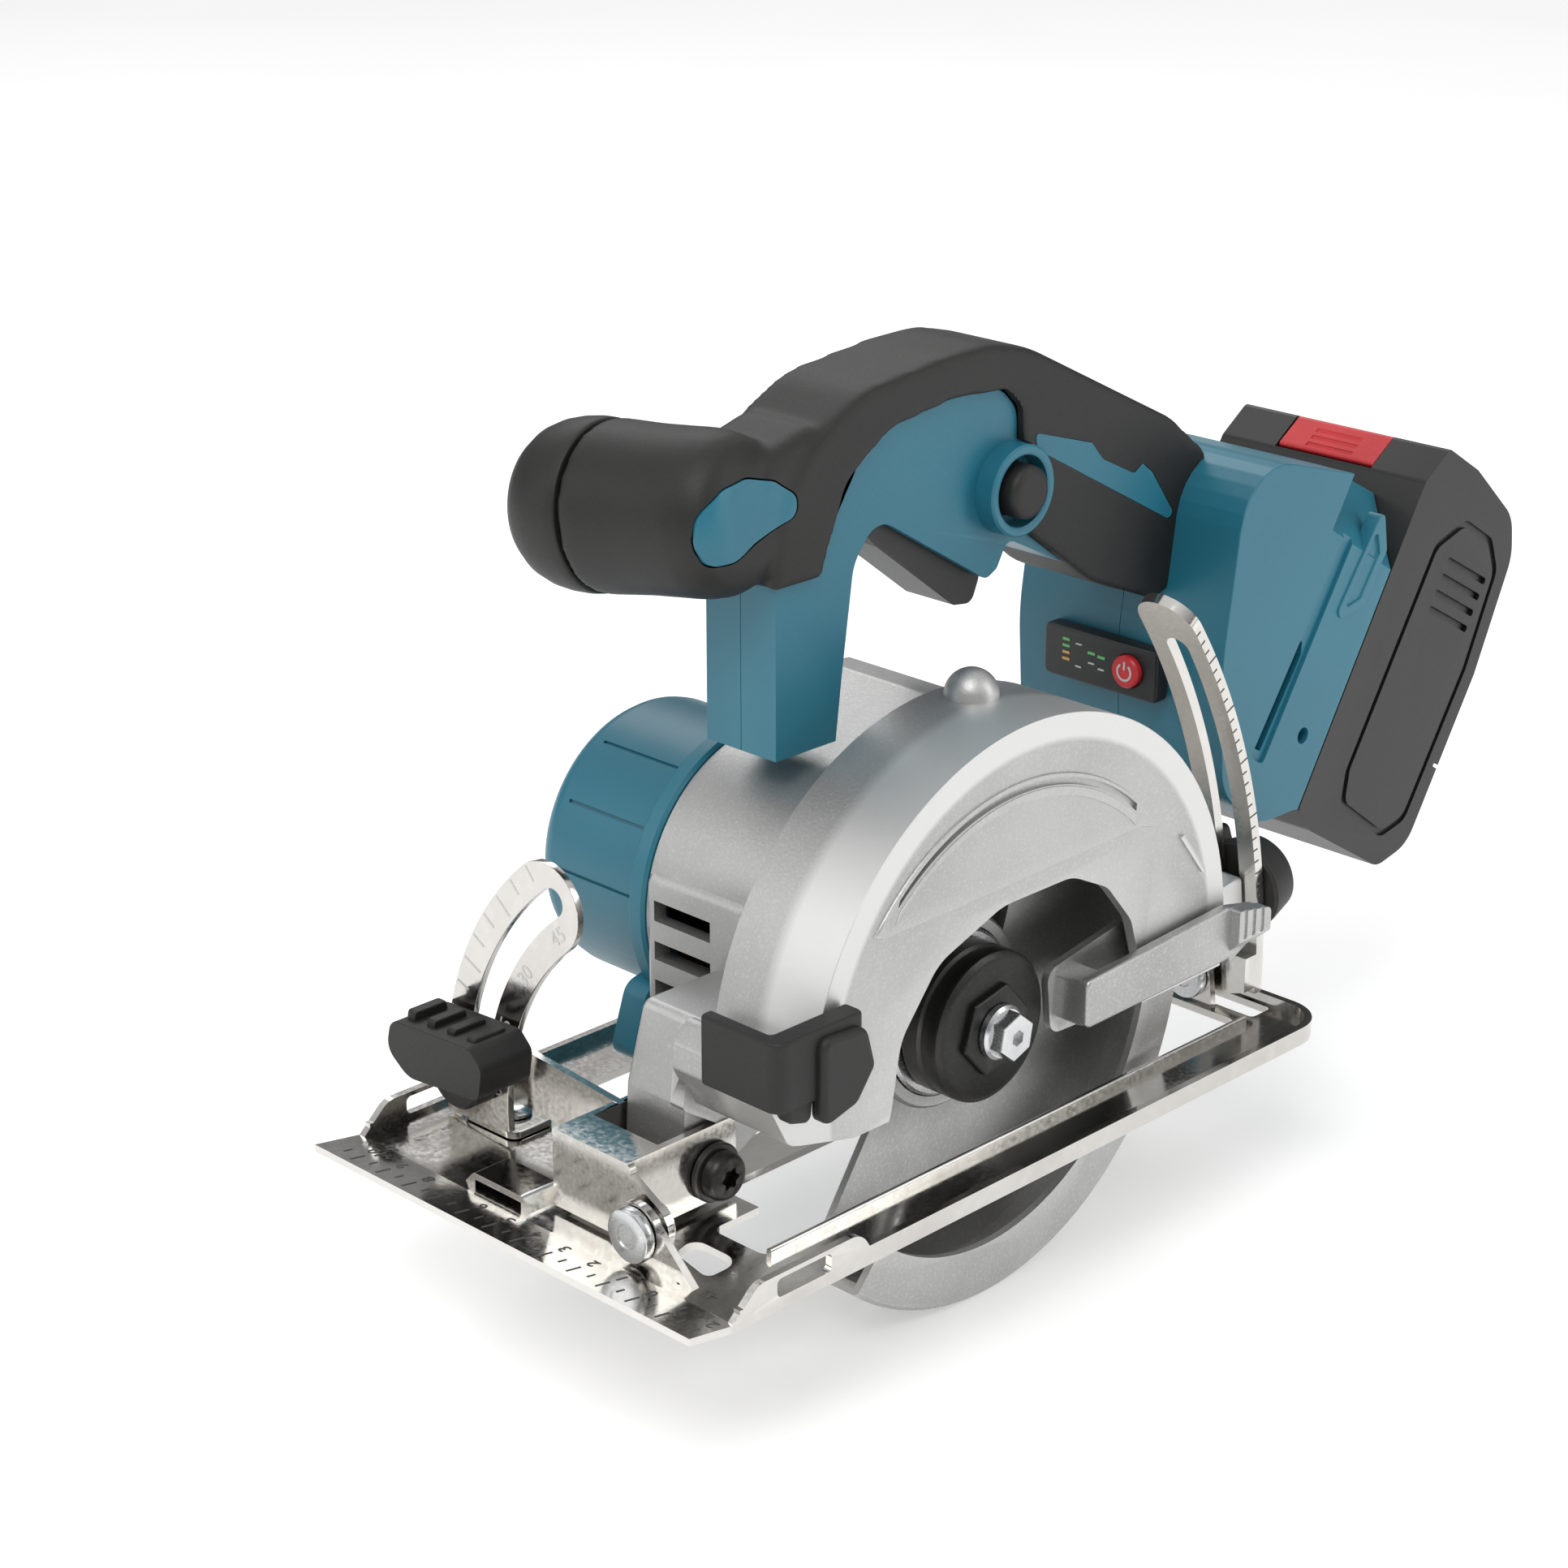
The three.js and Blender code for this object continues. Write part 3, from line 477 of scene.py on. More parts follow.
# base colour, its darker patches, flecks and worn edges, then roughness and how coarse the grain is
finishes = {
    "teal": {"colour": (0.018, 0.17, 0.245), "shade": (0.0145, 0.145, 0.215), "fleck": (0.024, 0.2, 0.28),
             "worn": (0.06, 0.29, 0.37), "rough": 0.42, "uneven": 0.05, "patch": 14, "grain": 1500,
             "bump": 0.35, "height": 0.05, "coat": 0.08},
    "rubber": {"colour": (0.013, 0.0125, 0.0115), "shade": (0.009, 0.0088, 0.0082),
               "fleck": (0.024, 0.023, 0.021), "worn": (0.04, 0.038, 0.035), "rough": 0.55, "uneven": 0.07,
               "patch": 20, "grain": 1700, "bump": 0.5, "height": 0.07},
    "black": {"colour": (0.012, 0.0118, 0.011), "shade": (0.0085, 0.0083, 0.008),
              "fleck": (0.02, 0.0195, 0.018), "worn": (0.05, 0.048, 0.045), "rough": 0.4, "uneven": 0.06,
              "patch": 18, "grain": 1300, "bump": 0.4, "height": 0.05},
    "red": {"colour": (0.62, 0.02, 0.028), "shade": (0.5, 0.014, 0.02), "fleck": (0.7, 0.04, 0.045),
            "worn": (0.8, 0.12, 0.12), "rough": 0.36, "uneven": 0.05, "patch": 60, "grain": 1500,
            "bump": 0.3, "height": 0.04},
    # cast guard: its "bright" colour on the rolled rim is a painted highlight, and the rim's grain is also
    # rubbed smooth
    "cast": {"colour": (0.52, 0.52, 0.515), "shade": (0.43, 0.43, 0.425), "fleck": (0.72, 0.72, 0.7),
             "worn": (0.86, 0.86, 0.84), "bright": (0.72, 0.72, 0.71), "metal": 0.88, "rough": 0.46,
             "uneven": 0.08, "patch": 22, "grain": 1300, "bump": 0.6, "height": 0.09, "speckle": 0.35,
             "wear": 0.8, "polishAndHighlight": (131, 36, 70.5)},
    "guard": {"colour": (0.5, 0.5, 0.495), "shade": (0.38, 0.38, 0.375), "fleck": (0.78, 0.78, 0.76),
              "worn": (0.82, 0.82, 0.8), "metal": 0.9, "rough": 0.42, "uneven": 0.09, "patch": 26,
              "grain": 1300, "bump": 0.6, "height": 0.09, "speckle": 0.35, "wear": 0.8},
    "chrome": {"colour": (0.66, 0.645, 0.615), "shade": (0.56, 0.54, 0.505), "fleck": (0.85, 0.84, 0.81),
               "worn": (0.92, 0.91, 0.88), "metal": 1, "rough": 0.15, "uneven": 0.06, "patch": 30,
               "grain": 260, "bump": 0.1, "height": 0.04, "sway": 0.12, "speckle": 0.2},
    "bright": {"colour": (0.68, 0.69, 0.7), "shade": (0.58, 0.59, 0.6), "fleck": (0.8, 0.8, 0.8),
               "worn": (0.9, 0.9, 0.9), "metal": 1, "rough": 0.28, "uneven": 0.07, "patch": 60, "grain": 700,
               "brushed": (1, 0.05, 1), "bump": 0.25, "height": 0.03},
    "dark": {"colour": (0.035, 0.034, 0.033), "shade": (0.022, 0.0215, 0.021), "fleck": (0.08, 0.078, 0.075),
             "worn": (0.3, 0.29, 0.28), "metal": 0.75, "rough": 0.38, "uneven": 0.09, "patch": 70,
             "grain": 1200, "bump": 0.35, "height": 0.05, "wear": 0.6},
    "etched": {"colour": (0.06, 0.058, 0.055), "shade": (0.04, 0.039, 0.037), "fleck": (0.14, 0.135, 0.13),
               "worn": (0.2, 0.2, 0.19), "metal": 0.3, "rough": 0.6, "uneven": 0.1, "patch": 120,
               "grain": 2500, "bump": 0.3, "height": 0.02},
    "winding": {"colour": (0.48, 0.19, 0.07), "shade": (0.32, 0.11, 0.04), "fleck": (0.7, 0.34, 0.15),
                "worn": (0.75, 0.4, 0.2), "metal": 0.85, "rough": 0.35, "uneven": 0.1, "patch": 90,
                "grain": 900, "brushed": (1, 4, 1), "bump": 0.6, "height": 0.15},
    "cell": {"colour": (0.05, 0.12, 0.3), "shade": (0.035, 0.09, 0.24), "fleck": (0.1, 0.2, 0.4),
             "worn": (0.5, 0.5, 0.5), "rough": 0.35, "uneven": 0.06, "patch": 60, "grain": 700,
             "bump": 0.2, "height": 0.03},
    "board": {"colour": (0.012, 0.1, 0.035), "shade": (0.008, 0.07, 0.025), "fleck": (0.3, 0.24, 0.08),
              "worn": (0.5, 0.42, 0.18), "rough": 0.4, "uneven": 0.08, "patch": 200, "grain": 500,
              "bump": 0.4, "height": 0.08, "speckle": 0.5},
    "greenLight": {"colour": (0.05, 0.5, 0.08), "shade": (0.03, 0.35, 0.06), "fleck": (0.2, 0.8, 0.25),
                   "worn": (0.4, 0.9, 0.4), "rough": 0.3, "uneven": 0.04, "patch": 200, "grain": 2000,
                   "bump": 0.1, "height": 0.01},
    "amberLight": {"colour": (0.75, 0.35, 0.02), "shade": (0.6, 0.25, 0.015), "fleck": (0.9, 0.5, 0.1),
                   "worn": (0.95, 0.7, 0.3), "rough": 0.3, "uneven": 0.04, "patch": 200, "grain": 2000,
                   "bump": 0.1, "height": 0.01},
    "pale": {"colour": (0.6, 0.6, 0.58), "shade": (0.5, 0.5, 0.48), "fleck": (0.75, 0.75, 0.73),
             "worn": (0.8, 0.8, 0.8), "rough": 0.5, "uneven": 0.05, "patch": 100, "grain": 2000,
             "bump": 0.1, "height": 0.01},
}
paint = {name: surface(name, look) for name, look in finishes.items()}
print("finishes made", len(paint))


# the sole: sheet steel with a sloped front lip, rolled rims and the blade slot
sole = {"length": 240, "width": 135, "sheet": 2, "rim": 5, "fenceRim": 9.4, "corner": 12, "edge": 0.6}
hinge = {"y": 37, "z": 10, "rivet": 3.5}   # the tilt axis, along the saw
scaleFoot = (47, 113)                      # where the bevel scale is riveted down


def ear(y0, y1, x0, x1):
    side = [(y0, 1)] + arc(hinge["y"], hinge["z"], 7.6, 150, 0, 16) + [(y1, 1)]
    return plate("ear", side, lengthways, x0, x1)


def makeSole():
    long, wide, sheet, corner = sole["length"], sole["width"], sole["sheet"], sole["corner"]
    flat = filleted([(14, 0), (long, 0, corner), (long, wide, corner), (14, wide)], 10)
    obj = plate("sole", flat, upright, 0, sheet)
    lip = plate("lip", [(0, 2.4), (14.5, 0), (14.5, sheet), (0, 4.4)], sideways, 0, wide)
    around = filleted([(16, 0), (long, 0, corner), (long, wide, corner), (16, wide)], 10)
    wall = plate("wall", around, upright, 0, sole["rim"])
    inner = corner - sheet
    inside = filleted([(12, sheet), (long - sheet, sheet, inner), (long - sheet, wide - sheet, inner),
                       (12, wide - sheet)], 10)
    weld(obj, lip, carve(wall, plate("inside", inside, upright, -1, 6)))
    for side in (0, wide - sheet):
        rim = filleted([(12, 0.2), (62, 0.2), (56, sole["fenceRim"], 6), (22, sole["fenceRim"], 6)])
        weld(obj, plate("rim", rim, sideways, side, side + sheet))
        carve(obj, plate("fence", roundedBox(28, 46, 3.4, 8.2, 1.4), sideways, side - 1, side + 3))
    rail = filleted([(15.9, 0), (17.5, 0), (17.5, 4.4, 0.7), (15.9, 4.4, 0.7)])
    weld(obj, plate("rail", rail, lengthways, 42, 224))
    carve(
        obj,
        plate("slot", roundedBox(42, 62, 17.5, 36, 3), upright, -1, 8),
        plate("slot", roundedBox(58, 224, 17.5, 50, 5), upright, -1, 8),
        plate("slot", roundedBox(228.8, 237, 17.5, 41, 1.5), upright, -1, 8),
        plate("opening", roundedBox(66, 176, 64, 116, 9), upright, -1, 8),
        plate("eye", filleted([(25, 20, 2), (36, 20, 5), (36, 36, 5), (28, 34, 3)]), upright, -1, 8),
    )
    bridge = plate("bridge", filleted([(72, 1), (76, 5.4, 2), (94, 5.4, 2), (98, 1)]), lengthways, 17, 28)
    carve(bridge, plate("under", [(76.5, -1), (76.5, 3.6), (93.5, 3.6), (93.5, -1)], lengthways, 16, 29))
    tail = block("tail", 224, 228.8, 29, 50, 0, sheet)
    weld(obj, bridge, ear(17, 46, 18.5, 20.5), ear(29, 50, 225.6, 227.6), tail)
    carve(
        obj,
        pinX("hole", hinge["y"], hinge["z"], hinge["rivet"] + 0.2, 10, 40),
        pinX("hole", hinge["y"], hinge["z"], hinge["rivet"] + 0.2, 220, 236),
        turnedZ("hole", *scaleFoot, barProfile(2.8, -1, 4)),
    )
    soften(obj, sole["edge"], 2, 40)
    return tidy(obj)


def makeSoleScale():
    # a fence scale in centimetres each way from the cutting line
    slope = math.radians(9.4)
    up = (-math.cos(slope), 0, math.sin(slope))
    marks = []
    for i in range(26):
        y = 3 + 5 * i
        tall = i % 2 == 0
        marks.append(tick(place(6.2, y, 3.38), (0, 1, 0), up, 0.5, 4.6 if tall else 2.6))
        if tall:
            marks.append(stamp(str(abs(i // 2 - 2)), place(10.2, y, 2.72), (0, 1, 0), up, 5))
    for word, y in (("45", 14), ("0", 23)):
        marks.append(stamp(word, place(20, y, sole["sheet"]), (0, 1, 0), (-1, 0, 0), 4.4))
    return tidy(gather(*marks), weighted=False)


standFor(makeSole(), "base_plate", "base", paint["chrome"])
finishPiece(makeSoleScale(), "base_plate_scale", "base", paint["etched"])
print("sole made")


# the bevel scale: an upright sector with a curved slot, ticks outside it and degrees inside
bevelScale = {"inner": 68, "outer": 92, "middle": 80, "slot": 7.4, "front": 38, "back": 40}
clampTurn = math.radians(7)
clampY = hinge["y"] + bevelScale["middle"] * math.cos(clampTurn)
clampZ = hinge["z"] + bevelScale["middle"] * math.sin(clampTurn)


def bandWithRoundEnd(inner, outer, start, end, roundStart=False):
    y, z, middle, half = hinge["y"], hinge["z"], (inner + outer) / 2, (outer - inner) / 2
    last = end - math.degrees(half / middle)
    first = start + (math.degrees(half / middle) if roundStart else 0)

    def roundEnd(turn, begin):
        a = math.radians(turn)
        return arc(y + middle * math.cos(a), z + middle * math.sin(a), half, begin, begin + 180, 18)[1:-1]

    line = arc(y, z, outer, first, last, 28) + roundEnd(last, last) + arc(y, z, inner, last, first, 28)
    if roundStart:
        line += roundEnd(first, first + 180)
    return line


def makeBevelScale():
    size = bevelScale
    sector = bandWithRoundEnd(size["inner"], size["outer"], -4.5, 58)
    obj = plate("sector", sector, lengthways, size["front"], size["back"])
    half = size["slot"] / 2
    slot = bandWithRoundEnd(size["middle"] - half, size["middle"] + half, 3.4, 54.6, True)
    carve(obj, plate("slot", slot, lengthways, 36, 42))
    foot = plate("foot", roundedBox(38.5, 53, 104, 124, 3), upright, 2.3, 4.2)
    carve(foot, turnedZ("hole", *scaleFoot, barProfile(2.8, 0, 8)))
    weld(obj, foot)
    soften(obj, 0.35, 2, 40)
    return tidy(obj)


def onScale(degrees):
    # out from the tilt axis, and along the scale
    turn = math.radians(degrees)
    return Vector((0, math.cos(turn), math.sin(turn))), Vector((0, -math.sin(turn), math.cos(turn)))


def makeBevelMarks():
    marks = []
    for i in range(10):
        out, along = onScale(5 + 5 * i)
        reach = 85 if i % 3 == 1 else 87
        spot = place(bevelScale["front"], hinge["y"] + reach * out.y, hinge["z"] + reach * out.z)
        marks.append(tick(spot, along, out, 0.55, 91.4 - reach))
    for degrees in (0, 15, 30, 45):
        out, along = onScale(degrees + 4)
        spot = place(bevelScale["front"], hinge["y"] + 72.2 * out.y, hinge["z"] + 72.2 * out.z)
        marks.append(stamp(str(degrees), spot, along, out, 5.6))
    return tidy(gather(*marks), weighted=False)


def makeRivet(name, x0, x1, head):
    # a headed rivet along the saw, closed over at its far end
    profile = [(0, x0), (head - 1, x0), (head - 0.3, x0 + 0.4), (head, x0 + 1.2), (head, x0 + 2.4),
               (head - 0.4, x0 + 3), (3.5, x0 + 3), (3.5, x1 - 1.8), (head - 1.5, x1 - 1.8),
               (head - 1.5, x1 - 0.5), (head - 2.2, x1), (0, x1)]
    obj = turnedX(name, hinge["y"], hinge["z"], profile)
    dimple = [(0, x0 - 1), (head * 0.55, x0 - 1), (head * 0.42, x0 + 0.35), (0, x0 + 0.35)]
    return tidy(carve(obj, turnedX("dimple", hinge["y"], hinge["z"], dimple)))


standFor(makeBevelScale(), "bevel_scale_plate", "base", paint["chrome"])
finishPiece(makeBevelMarks(), "bevel_scale_marks", "base", paint["pale"])
rivetSide = [(0, 0.2), (2.4, 0.2), (2.4, 4.5), (4.4, 4.5), (4.4, 5.3), (3.6, 6.1), (2, 6.4), (0, 6.4)]
footRivet = turnedZ("rivet", *scaleFoot, rivetSide)
standFor(tidy(footRivet), "bevel_scale_rivet", "base", paint["bright"])
standFor(makeRivet("rivet", 15.2, 26.4, 7), "front_bevel_rivet", "base", paint["bright"])
standFor(makeRivet("rivet", 222.3, 233.5, 6.4), "rear_bevel_rivet", "base", paint["bright"])
print("bevel scale made")


# the pressed bracket that tilts, with the arm behind the scale
def makeBracket():
    face = arc(hinge["y"], hinge["z"], 7, 120, 300, 16)
    face += filleted([(50, 3.4, 2), (70, 3.4), (70, 24), (42, 24, 2)])
    obj = plate("bracket", face, lengthways, 22.3, 24.3)
    arm = filleted([(68.4, 9), (118, 12, 3), (124, 15, 3), (124, 25, 4), (118, 28, 3), (68.4, 24)])
    weld(
        obj,
        block("left", 22.3, 58, 44, 46, 4, 24),
        block("right", 22.3, 58, 68.4, 70.4, 4, 24),
        block("top", 22.3, 34, 44, 70.4, 22, 24),
        plate("arm", arm, lengthways, 42.3, 44.3),
    )
    carve(
        obj,
        pinX("hole", hinge["y"], hinge["z"], 3.7, 20, 27),
        pin("hole", pivot["x"], pivot["z"], 3.3, 40, 74),
        pinX("hole", clampY, clampZ, 3.2, 36, 50),
    )
    soften(obj, 0.7, 3, 40)
    return tidy(obj)


def makeClampScrew():
    obj = pinX("screw", clampY, clampZ, 2.9, 26, 46, 0.5)
    nut = plate("nut", hexagon(clampY, clampZ, 11.2), lengthways, 44.6, 49)
    return tidy(weld(obj, soften(nut, 0.5, 2, 40)))


# the black tilt lever, ribbed for the thumb
bevelLever = {"ribs": 4, "ribPitch": 7.5, "round": 2.4}


def makeBevelLever():
    side = filleted([(95, 23, 3), (122, 20.4, 8), (130, 26, 5), (128, 34.5, 4), (98, 36.4, 4), (93.4, 32, 3)])
    obj = plate("lever", side, lengthways, 20, 36.8)
    roundEdges(obj, bevelLever["round"], 4, lambda v: v.x < 20.1 or v.x > 36.7)
    weld(obj, pinX("hub", clampY, clampZ, 9.5, 30, 37.7, 0.8))
    for i in range(bevelLever["ribs"]):
        y = 99.5 + bevelLever["ribPitch"] * i
        rib = filleted([(22.5, 32), (34.4, 32), (33.6, 37.2, 1), (23.4, 37.2, 1)])
        weld(obj, soften(plate("rib", rib, sideways, y, y + 3.2), 0.6, 2, 40))
    carve(obj, pinX("hole", clampY, clampZ, 3.2, 25, 40))
    return tidy(obj)


def makePivotScrew():
    profile = [(0, 37.6), (4.6, 37.6), (5.6, 38.2), (6.2, 39.4), (6.2, 41.5), (3, 41.5), (3, 70.2),
               (2.6, 70.6), (0, 70.6)]
    obj = turnedY("screw", pivot["x"], pivot["z"], profile, 48)
    star = []
    for i in range(12):
        turn = math.radians(30 * i)
        reach = 3.3 if i % 2 == 0 else 2.1
        star.append((pivot["x"] + reach * math.cos(turn), pivot["z"] + reach * math.sin(turn), 0.6))
    return tidy(carve(obj, plate("star", filleted(star, 4), sideways, 36, 39.8)))


# the slotted depth guide: an arc about the depth pivot, with ticks on its near edge
depthGuide = {"inner": 184, "outer": 187, "left": 21, "right": 39,
              "top": 38, "slot": (3.3, 32.5), "half": 3.5}   # turns in degrees, and half the slot's width


def makeDepthGuide():
    cx, cz, inner, outer = pivot["x"], pivot["z"], depthGuide["inner"], depthGuide["outer"]
    strip = ringPart(cx, cz, inner, outer, -1.8, depthGuide["top"], 60)
    obj = plate("guide", strip, sideways, depthGuide["left"], depthGuide["right"])
    # rounded top corners and slot ends, cut square to the strip
    top = math.radians(depthGuide["top"])
    out = Vector((math.cos(top), 0, math.sin(top)))
    rise = Vector((-math.sin(top), 0, math.cos(top)))
    tip = place(cx, 30, cz) + out * inner * mm

    def squareToTip(a, b, depth):
        return tip + (Vector((0, 1, 0)) * a + rise * b + out * depth) * mm

    for side in (-1, 1):
        corner = [(side * 12, -9), (side * 12, 2), (0, 2), (0, 0)] + arc(0, -9, 9, 90, 90 - 90 * side, 12)[1:]
        carve(obj, plate("corner", corner, squareToTip, -4, 8))
    half = depthGuide["half"]
    slot = ringPart(cx, cz, inner - 3, outer + 6, *depthGuide["slot"], 50)
    carve(obj, plate("slot", slot, sideways, 30 - half, 30 + half))
    for turn in depthGuide["slot"]:
        ray = Vector((math.cos(math.radians(turn)), 0, math.sin(math.radians(turn))))
        carve(obj, turned("end", barProfile(half, 178, 194), place(cx, 30, cz), ray, (0, 1, 0), 32))
    foot = [(21, 8), (31, 4.6)] + arc(hinge["y"], hinge["z"], 7, 240, 360, 14) + [(44, 18), (21, 18)]
    weld(obj, plate("foot", foot, lengthways, 229.2, 231.4), block("heel", 230.6, 235, 21, 31.5, 8, 18))
    carve(obj, pinX("hole", hinge["y"], hinge["z"], 3.7, 226, 240))
    soften(obj, 0.5, 2, 40)
    return tidy(obj)


def makeGuideMarks():
    cx, cz, marks = pivot["x"], pivot["z"], []
    middle = (depthGuide["inner"] + depthGuide["outer"]) / 2
    for i in range(29):
        turn = math.radians(4 + 1.1 * i)
        rise = Vector((-math.sin(turn), 0, math.cos(turn)))
        across = Vector((math.cos(turn), 0, math.sin(turn)))
        spot = place(cx + middle * math.cos(turn), depthGuide["left"], cz + middle * math.sin(turn))
        marks.append(tick(spot - across * 1.5 * mm, rise, across, 0.4, 3 if i % 5 == 0 else 1.7, 0.08))
    return tidy(gather(*marks), weighted=False)


standFor(makeBracket(), "front_bracket", "bevel_frame", paint["chrome"])
standFor(makeClampScrew(), "bevel_clamp_screw", "bevel_frame", paint["dark"])
standFor(makeBevelLever(), "bevel_lever", "bevel_clamp_lever", paint["rubber"])
standFor(makePivotScrew(), "depth_pivot_screw", "bevel_frame", paint["dark"])
washerSide = [(3.4, 41.9), (7.2, 41.9), (7.6, 42.3), (7.6, 43.3), (7.2, 43.7), (3.4, 43.7), (3.4, 41.9)]
washer = turnedY("washer", pivot["x"], pivot["z"], washerSide, 48)
standFor(tidy(washer), "depth_pivot_washer", "bevel_frame", paint["dark"])
nut = soften(plate("nut", hexagon(pivot["x"], pivot["z"], 10.4), sideways, 71, 74.6), 0.5, 2, 40)
carve(nut, pin("bore", pivot["x"], pivot["z"], 2.2, 69, 72))
standFor(tidy(nut), "depth_pivot_nut", "bevel_frame", paint["bright"])
standFor(makeDepthGuide(), "depth_guide", "bevel_frame", paint["chrome"])
finishPiece(makeGuideMarks(), "depth_guide_marks", "bevel_frame", paint["etched"])
print("bevel frame made")


# cast housing: the upper blade guard, the gear case behind it, the vents and the lugs
guard = {"x": 131, "z": 36, "radius": 78, "front": 14, "back": 47, "rim": 7, "wall": 3.4}
arbor = {"x": 124, "z": 33}
motor = {"x": 115, "z": 56.5, "radius": 37}


def onGuardArc(v):
    return math.hypot(v.x - guard["x"], v.z - guard["z"]) > guard["radius"] - 0.1 and v.z > 28


def makeHousing():
    x, z, radius = guard["x"], guard["z"], guard["radius"]
    rim = [(46, 30.5, 5), (68, 25, 6), (190, 25, 2)] + arc(x, z, radius, -8, 172, 64)
    rim += [(46, 54, 3), (40, 48, 3), (40, 42, 3)]
    obj = plate("housing", filleted(rim), sideways, guard["front"], guard["back"])
    roundEdges(obj, guard["rim"], 7, lambda v: abs(v.y - guard["front"]) < 0.1 and onGuardArc(v))
    roundEdges(obj, 2.5, 4, lambda v: abs(v.y - guard["back"]) < 0.1 and onGuardArc(v))
    hollow = [(56, 10), (204, 10)] + arc(x, z, radius - guard["wall"], -4, 170, 48) + [(60, 44)]
    window = filleted([(72, -5), (81, 28, 4), (84, 45, 14), (97, 61, 14), (120, 69, 20), (146, 69, 14),
                       (160, 62, 10), (170, 50, 10), (175, 34, 8), (178, -5)])
    carve(obj, plate("hollow", filleted(hollow), sideways, 17, 44), plate("window", window, sideways, 12, 19))
    panel = filleted(arc(126, 34, 66, 36, 142, 36) + [(77, 73.5, 4), (104, 73.5), (150, 74.5), (172, 75, 3)])
    panel = plate("panel", panel, sideways, 13.35, 15)
    roundEdges(panel, 0.6, 2, lambda v: v.y < 13.4)
    crescent = filleted(arc(126, 34, 62.6, 46, 134, 30) + arc(125, 30.5, 63.8, 134, 46, 30))
    ridge = plate("ridge", crescent, sideways, 13.1, 14.5)
    roundEdges(ridge, 0.2, 2, lambda v: v.y < 13.2)
    bead = filleted([(188.2, 67.5), (189.6, 68, 0.5), (199.4, 55.6, 0.5), (198, 55)])
    bead = plate("bead", bead, sideways, 13.2, 15)
    case = filleted(
        arc(motor["x"], motor["z"], 41, 98, 252, 40) + arc(arbor["x"], arbor["z"], 26, -146, 20, 24)
        + [(158, 60, 3), (156, 92, 6), (148, 107.5, 3), (138, 108.5, 3)])
    case = plate("case", case, sideways, 45, 92)
    vents = plate("vents", filleted([(74, 32, 3), (92, 32), (92, 70), (74, 70, 5)]), sideways, 58, 92)
    nose = filleted([(43, 14, 3), (57, 8, 3), (92, 26), (92, 50), (50, 50, 3), (44, 30, 6)])
    nose = plate("nose", nose, sideways, 47, 67.6)
    web = plate("web", filleted([(41, 31, 2), (58, 20, 2), (62, 42, 2), (43, 46, 2)]), sideways, 44.5, 49)
    boss = [(7 * math.cos(math.radians(a)), 7 * math.sin(math.radians(a))) for a in range(-90, 91, 10)]
    boss = turned("boss", [(max(r, 0), s) for r, s in boss], place(134, 38, 114), (0, 0, 1), (1, 0, 0), 40)
    lug = plate("lug", roundedBox(157, 183.6, -6.5, 6.5, 2), clampSide, 25, 36)
    weld(obj, soften(case, 2.2, 3, 45), soften(vents, 1.6, 3, 45),
         pin("boss", pivot["x"], pivot["z"], 8, 47, 67.6, 1, 40),
         soften(nose, 1.2, 2, 45), web, boss, soften(lug, 1.2, 2, 45), panel, ridge, bead)
    gears = arc(motor["x"], motor["z"], 37, 98, 250, 30) + arc(arbor["x"], arbor["z"], 23.4, -148, 20, 20)
    gears += [(152, 60), (148, 88)]
    groove = filleted(arc(126, 33.4, 65.4, 48, 132, 36) + arc(125.6, 31.4, 65.6, 132, 48, 36))
    carve(
        obj,
        plate("gears", gears, sideways, 54, 93),
        pin("bore", arbor["x"], arbor["z"], 8.6, 30, 60),
        pin("bore", pivot["x"], pivot["z"], 3.3, 40, 74),
        turned("bore", barProfile(3.3, 165, 195), place(pivot["x"], 30, pivot["z"]), clampRay, (0, 1, 0), 32),
        plate("groove", groove, sideways, 12, 14.4),
        *[plate("vent", roundedBox(70, 88, low, high, 1), sideways, 69, 89)
          for low, high in ((56.5, 62), (46, 51), (35.5, 40.5))],
    )
    neck = [(8.6, 39), (15, 39), (16, 40), (16, 45), (8.6, 45), (8.6, 39)]
    weld(obj, turnedY("neck", arbor["x"], arbor["z"], neck))
    return tidy(obj, 40)


standFor(makeHousing(), "gear_housing", "saw", paint["cast"])
ringSide = [(8.6, 33.4), (21.4, 33.4), (22.2, 34.2), (22.2, 35.8), (21.8, 36.4), (19, 36.4), (19, 38.2),
            (18.5, 38.7), (8.6, 38.7), (8.6, 33.4)]
ring = turnedY("ring", arbor["x"], arbor["z"], ringSide, 72)
standFor(tidy(ring), "guard_hub_ring", "saw", paint["bright"])
print("housing made")


# the rubber chip deflector wraps round the guard's front corner, with a lobe on its face
def makeDeflector():
    wrap = filleted([(35.4, 7, 4), (64, 7, 2), (64, 13.4), (39.4, 13.4, 1), (39.4, 33, 1), (35.4, 33, 1.5)])
    obj = plate("deflector", wrap, upright, 44, 62)
    soften(obj, 1.8, 3, 45)
    lobe = filleted([(48, 37, 3), (60, 40, 4), (66, 48, 3), (63, 59, 4), (48, 60, 3)])
    lobe = plate("lobe", lobe, sideways, 4.7, 8.6)
    roundEdges(lobe, 1.7, 4, lambda v: v.y < 5)
    tongue = filleted([(40, 40.5, 2), (47, 38.5, 2), (48, 48), (39, 48)])
    return weld(obj, lobe, soften(plate("tongue", tongue, sideways, 7.6, 12.4), 1, 2, 45))


standFor(tidy(makeDeflector(), 45), "chip_deflector", "saw", paint["rubber"])


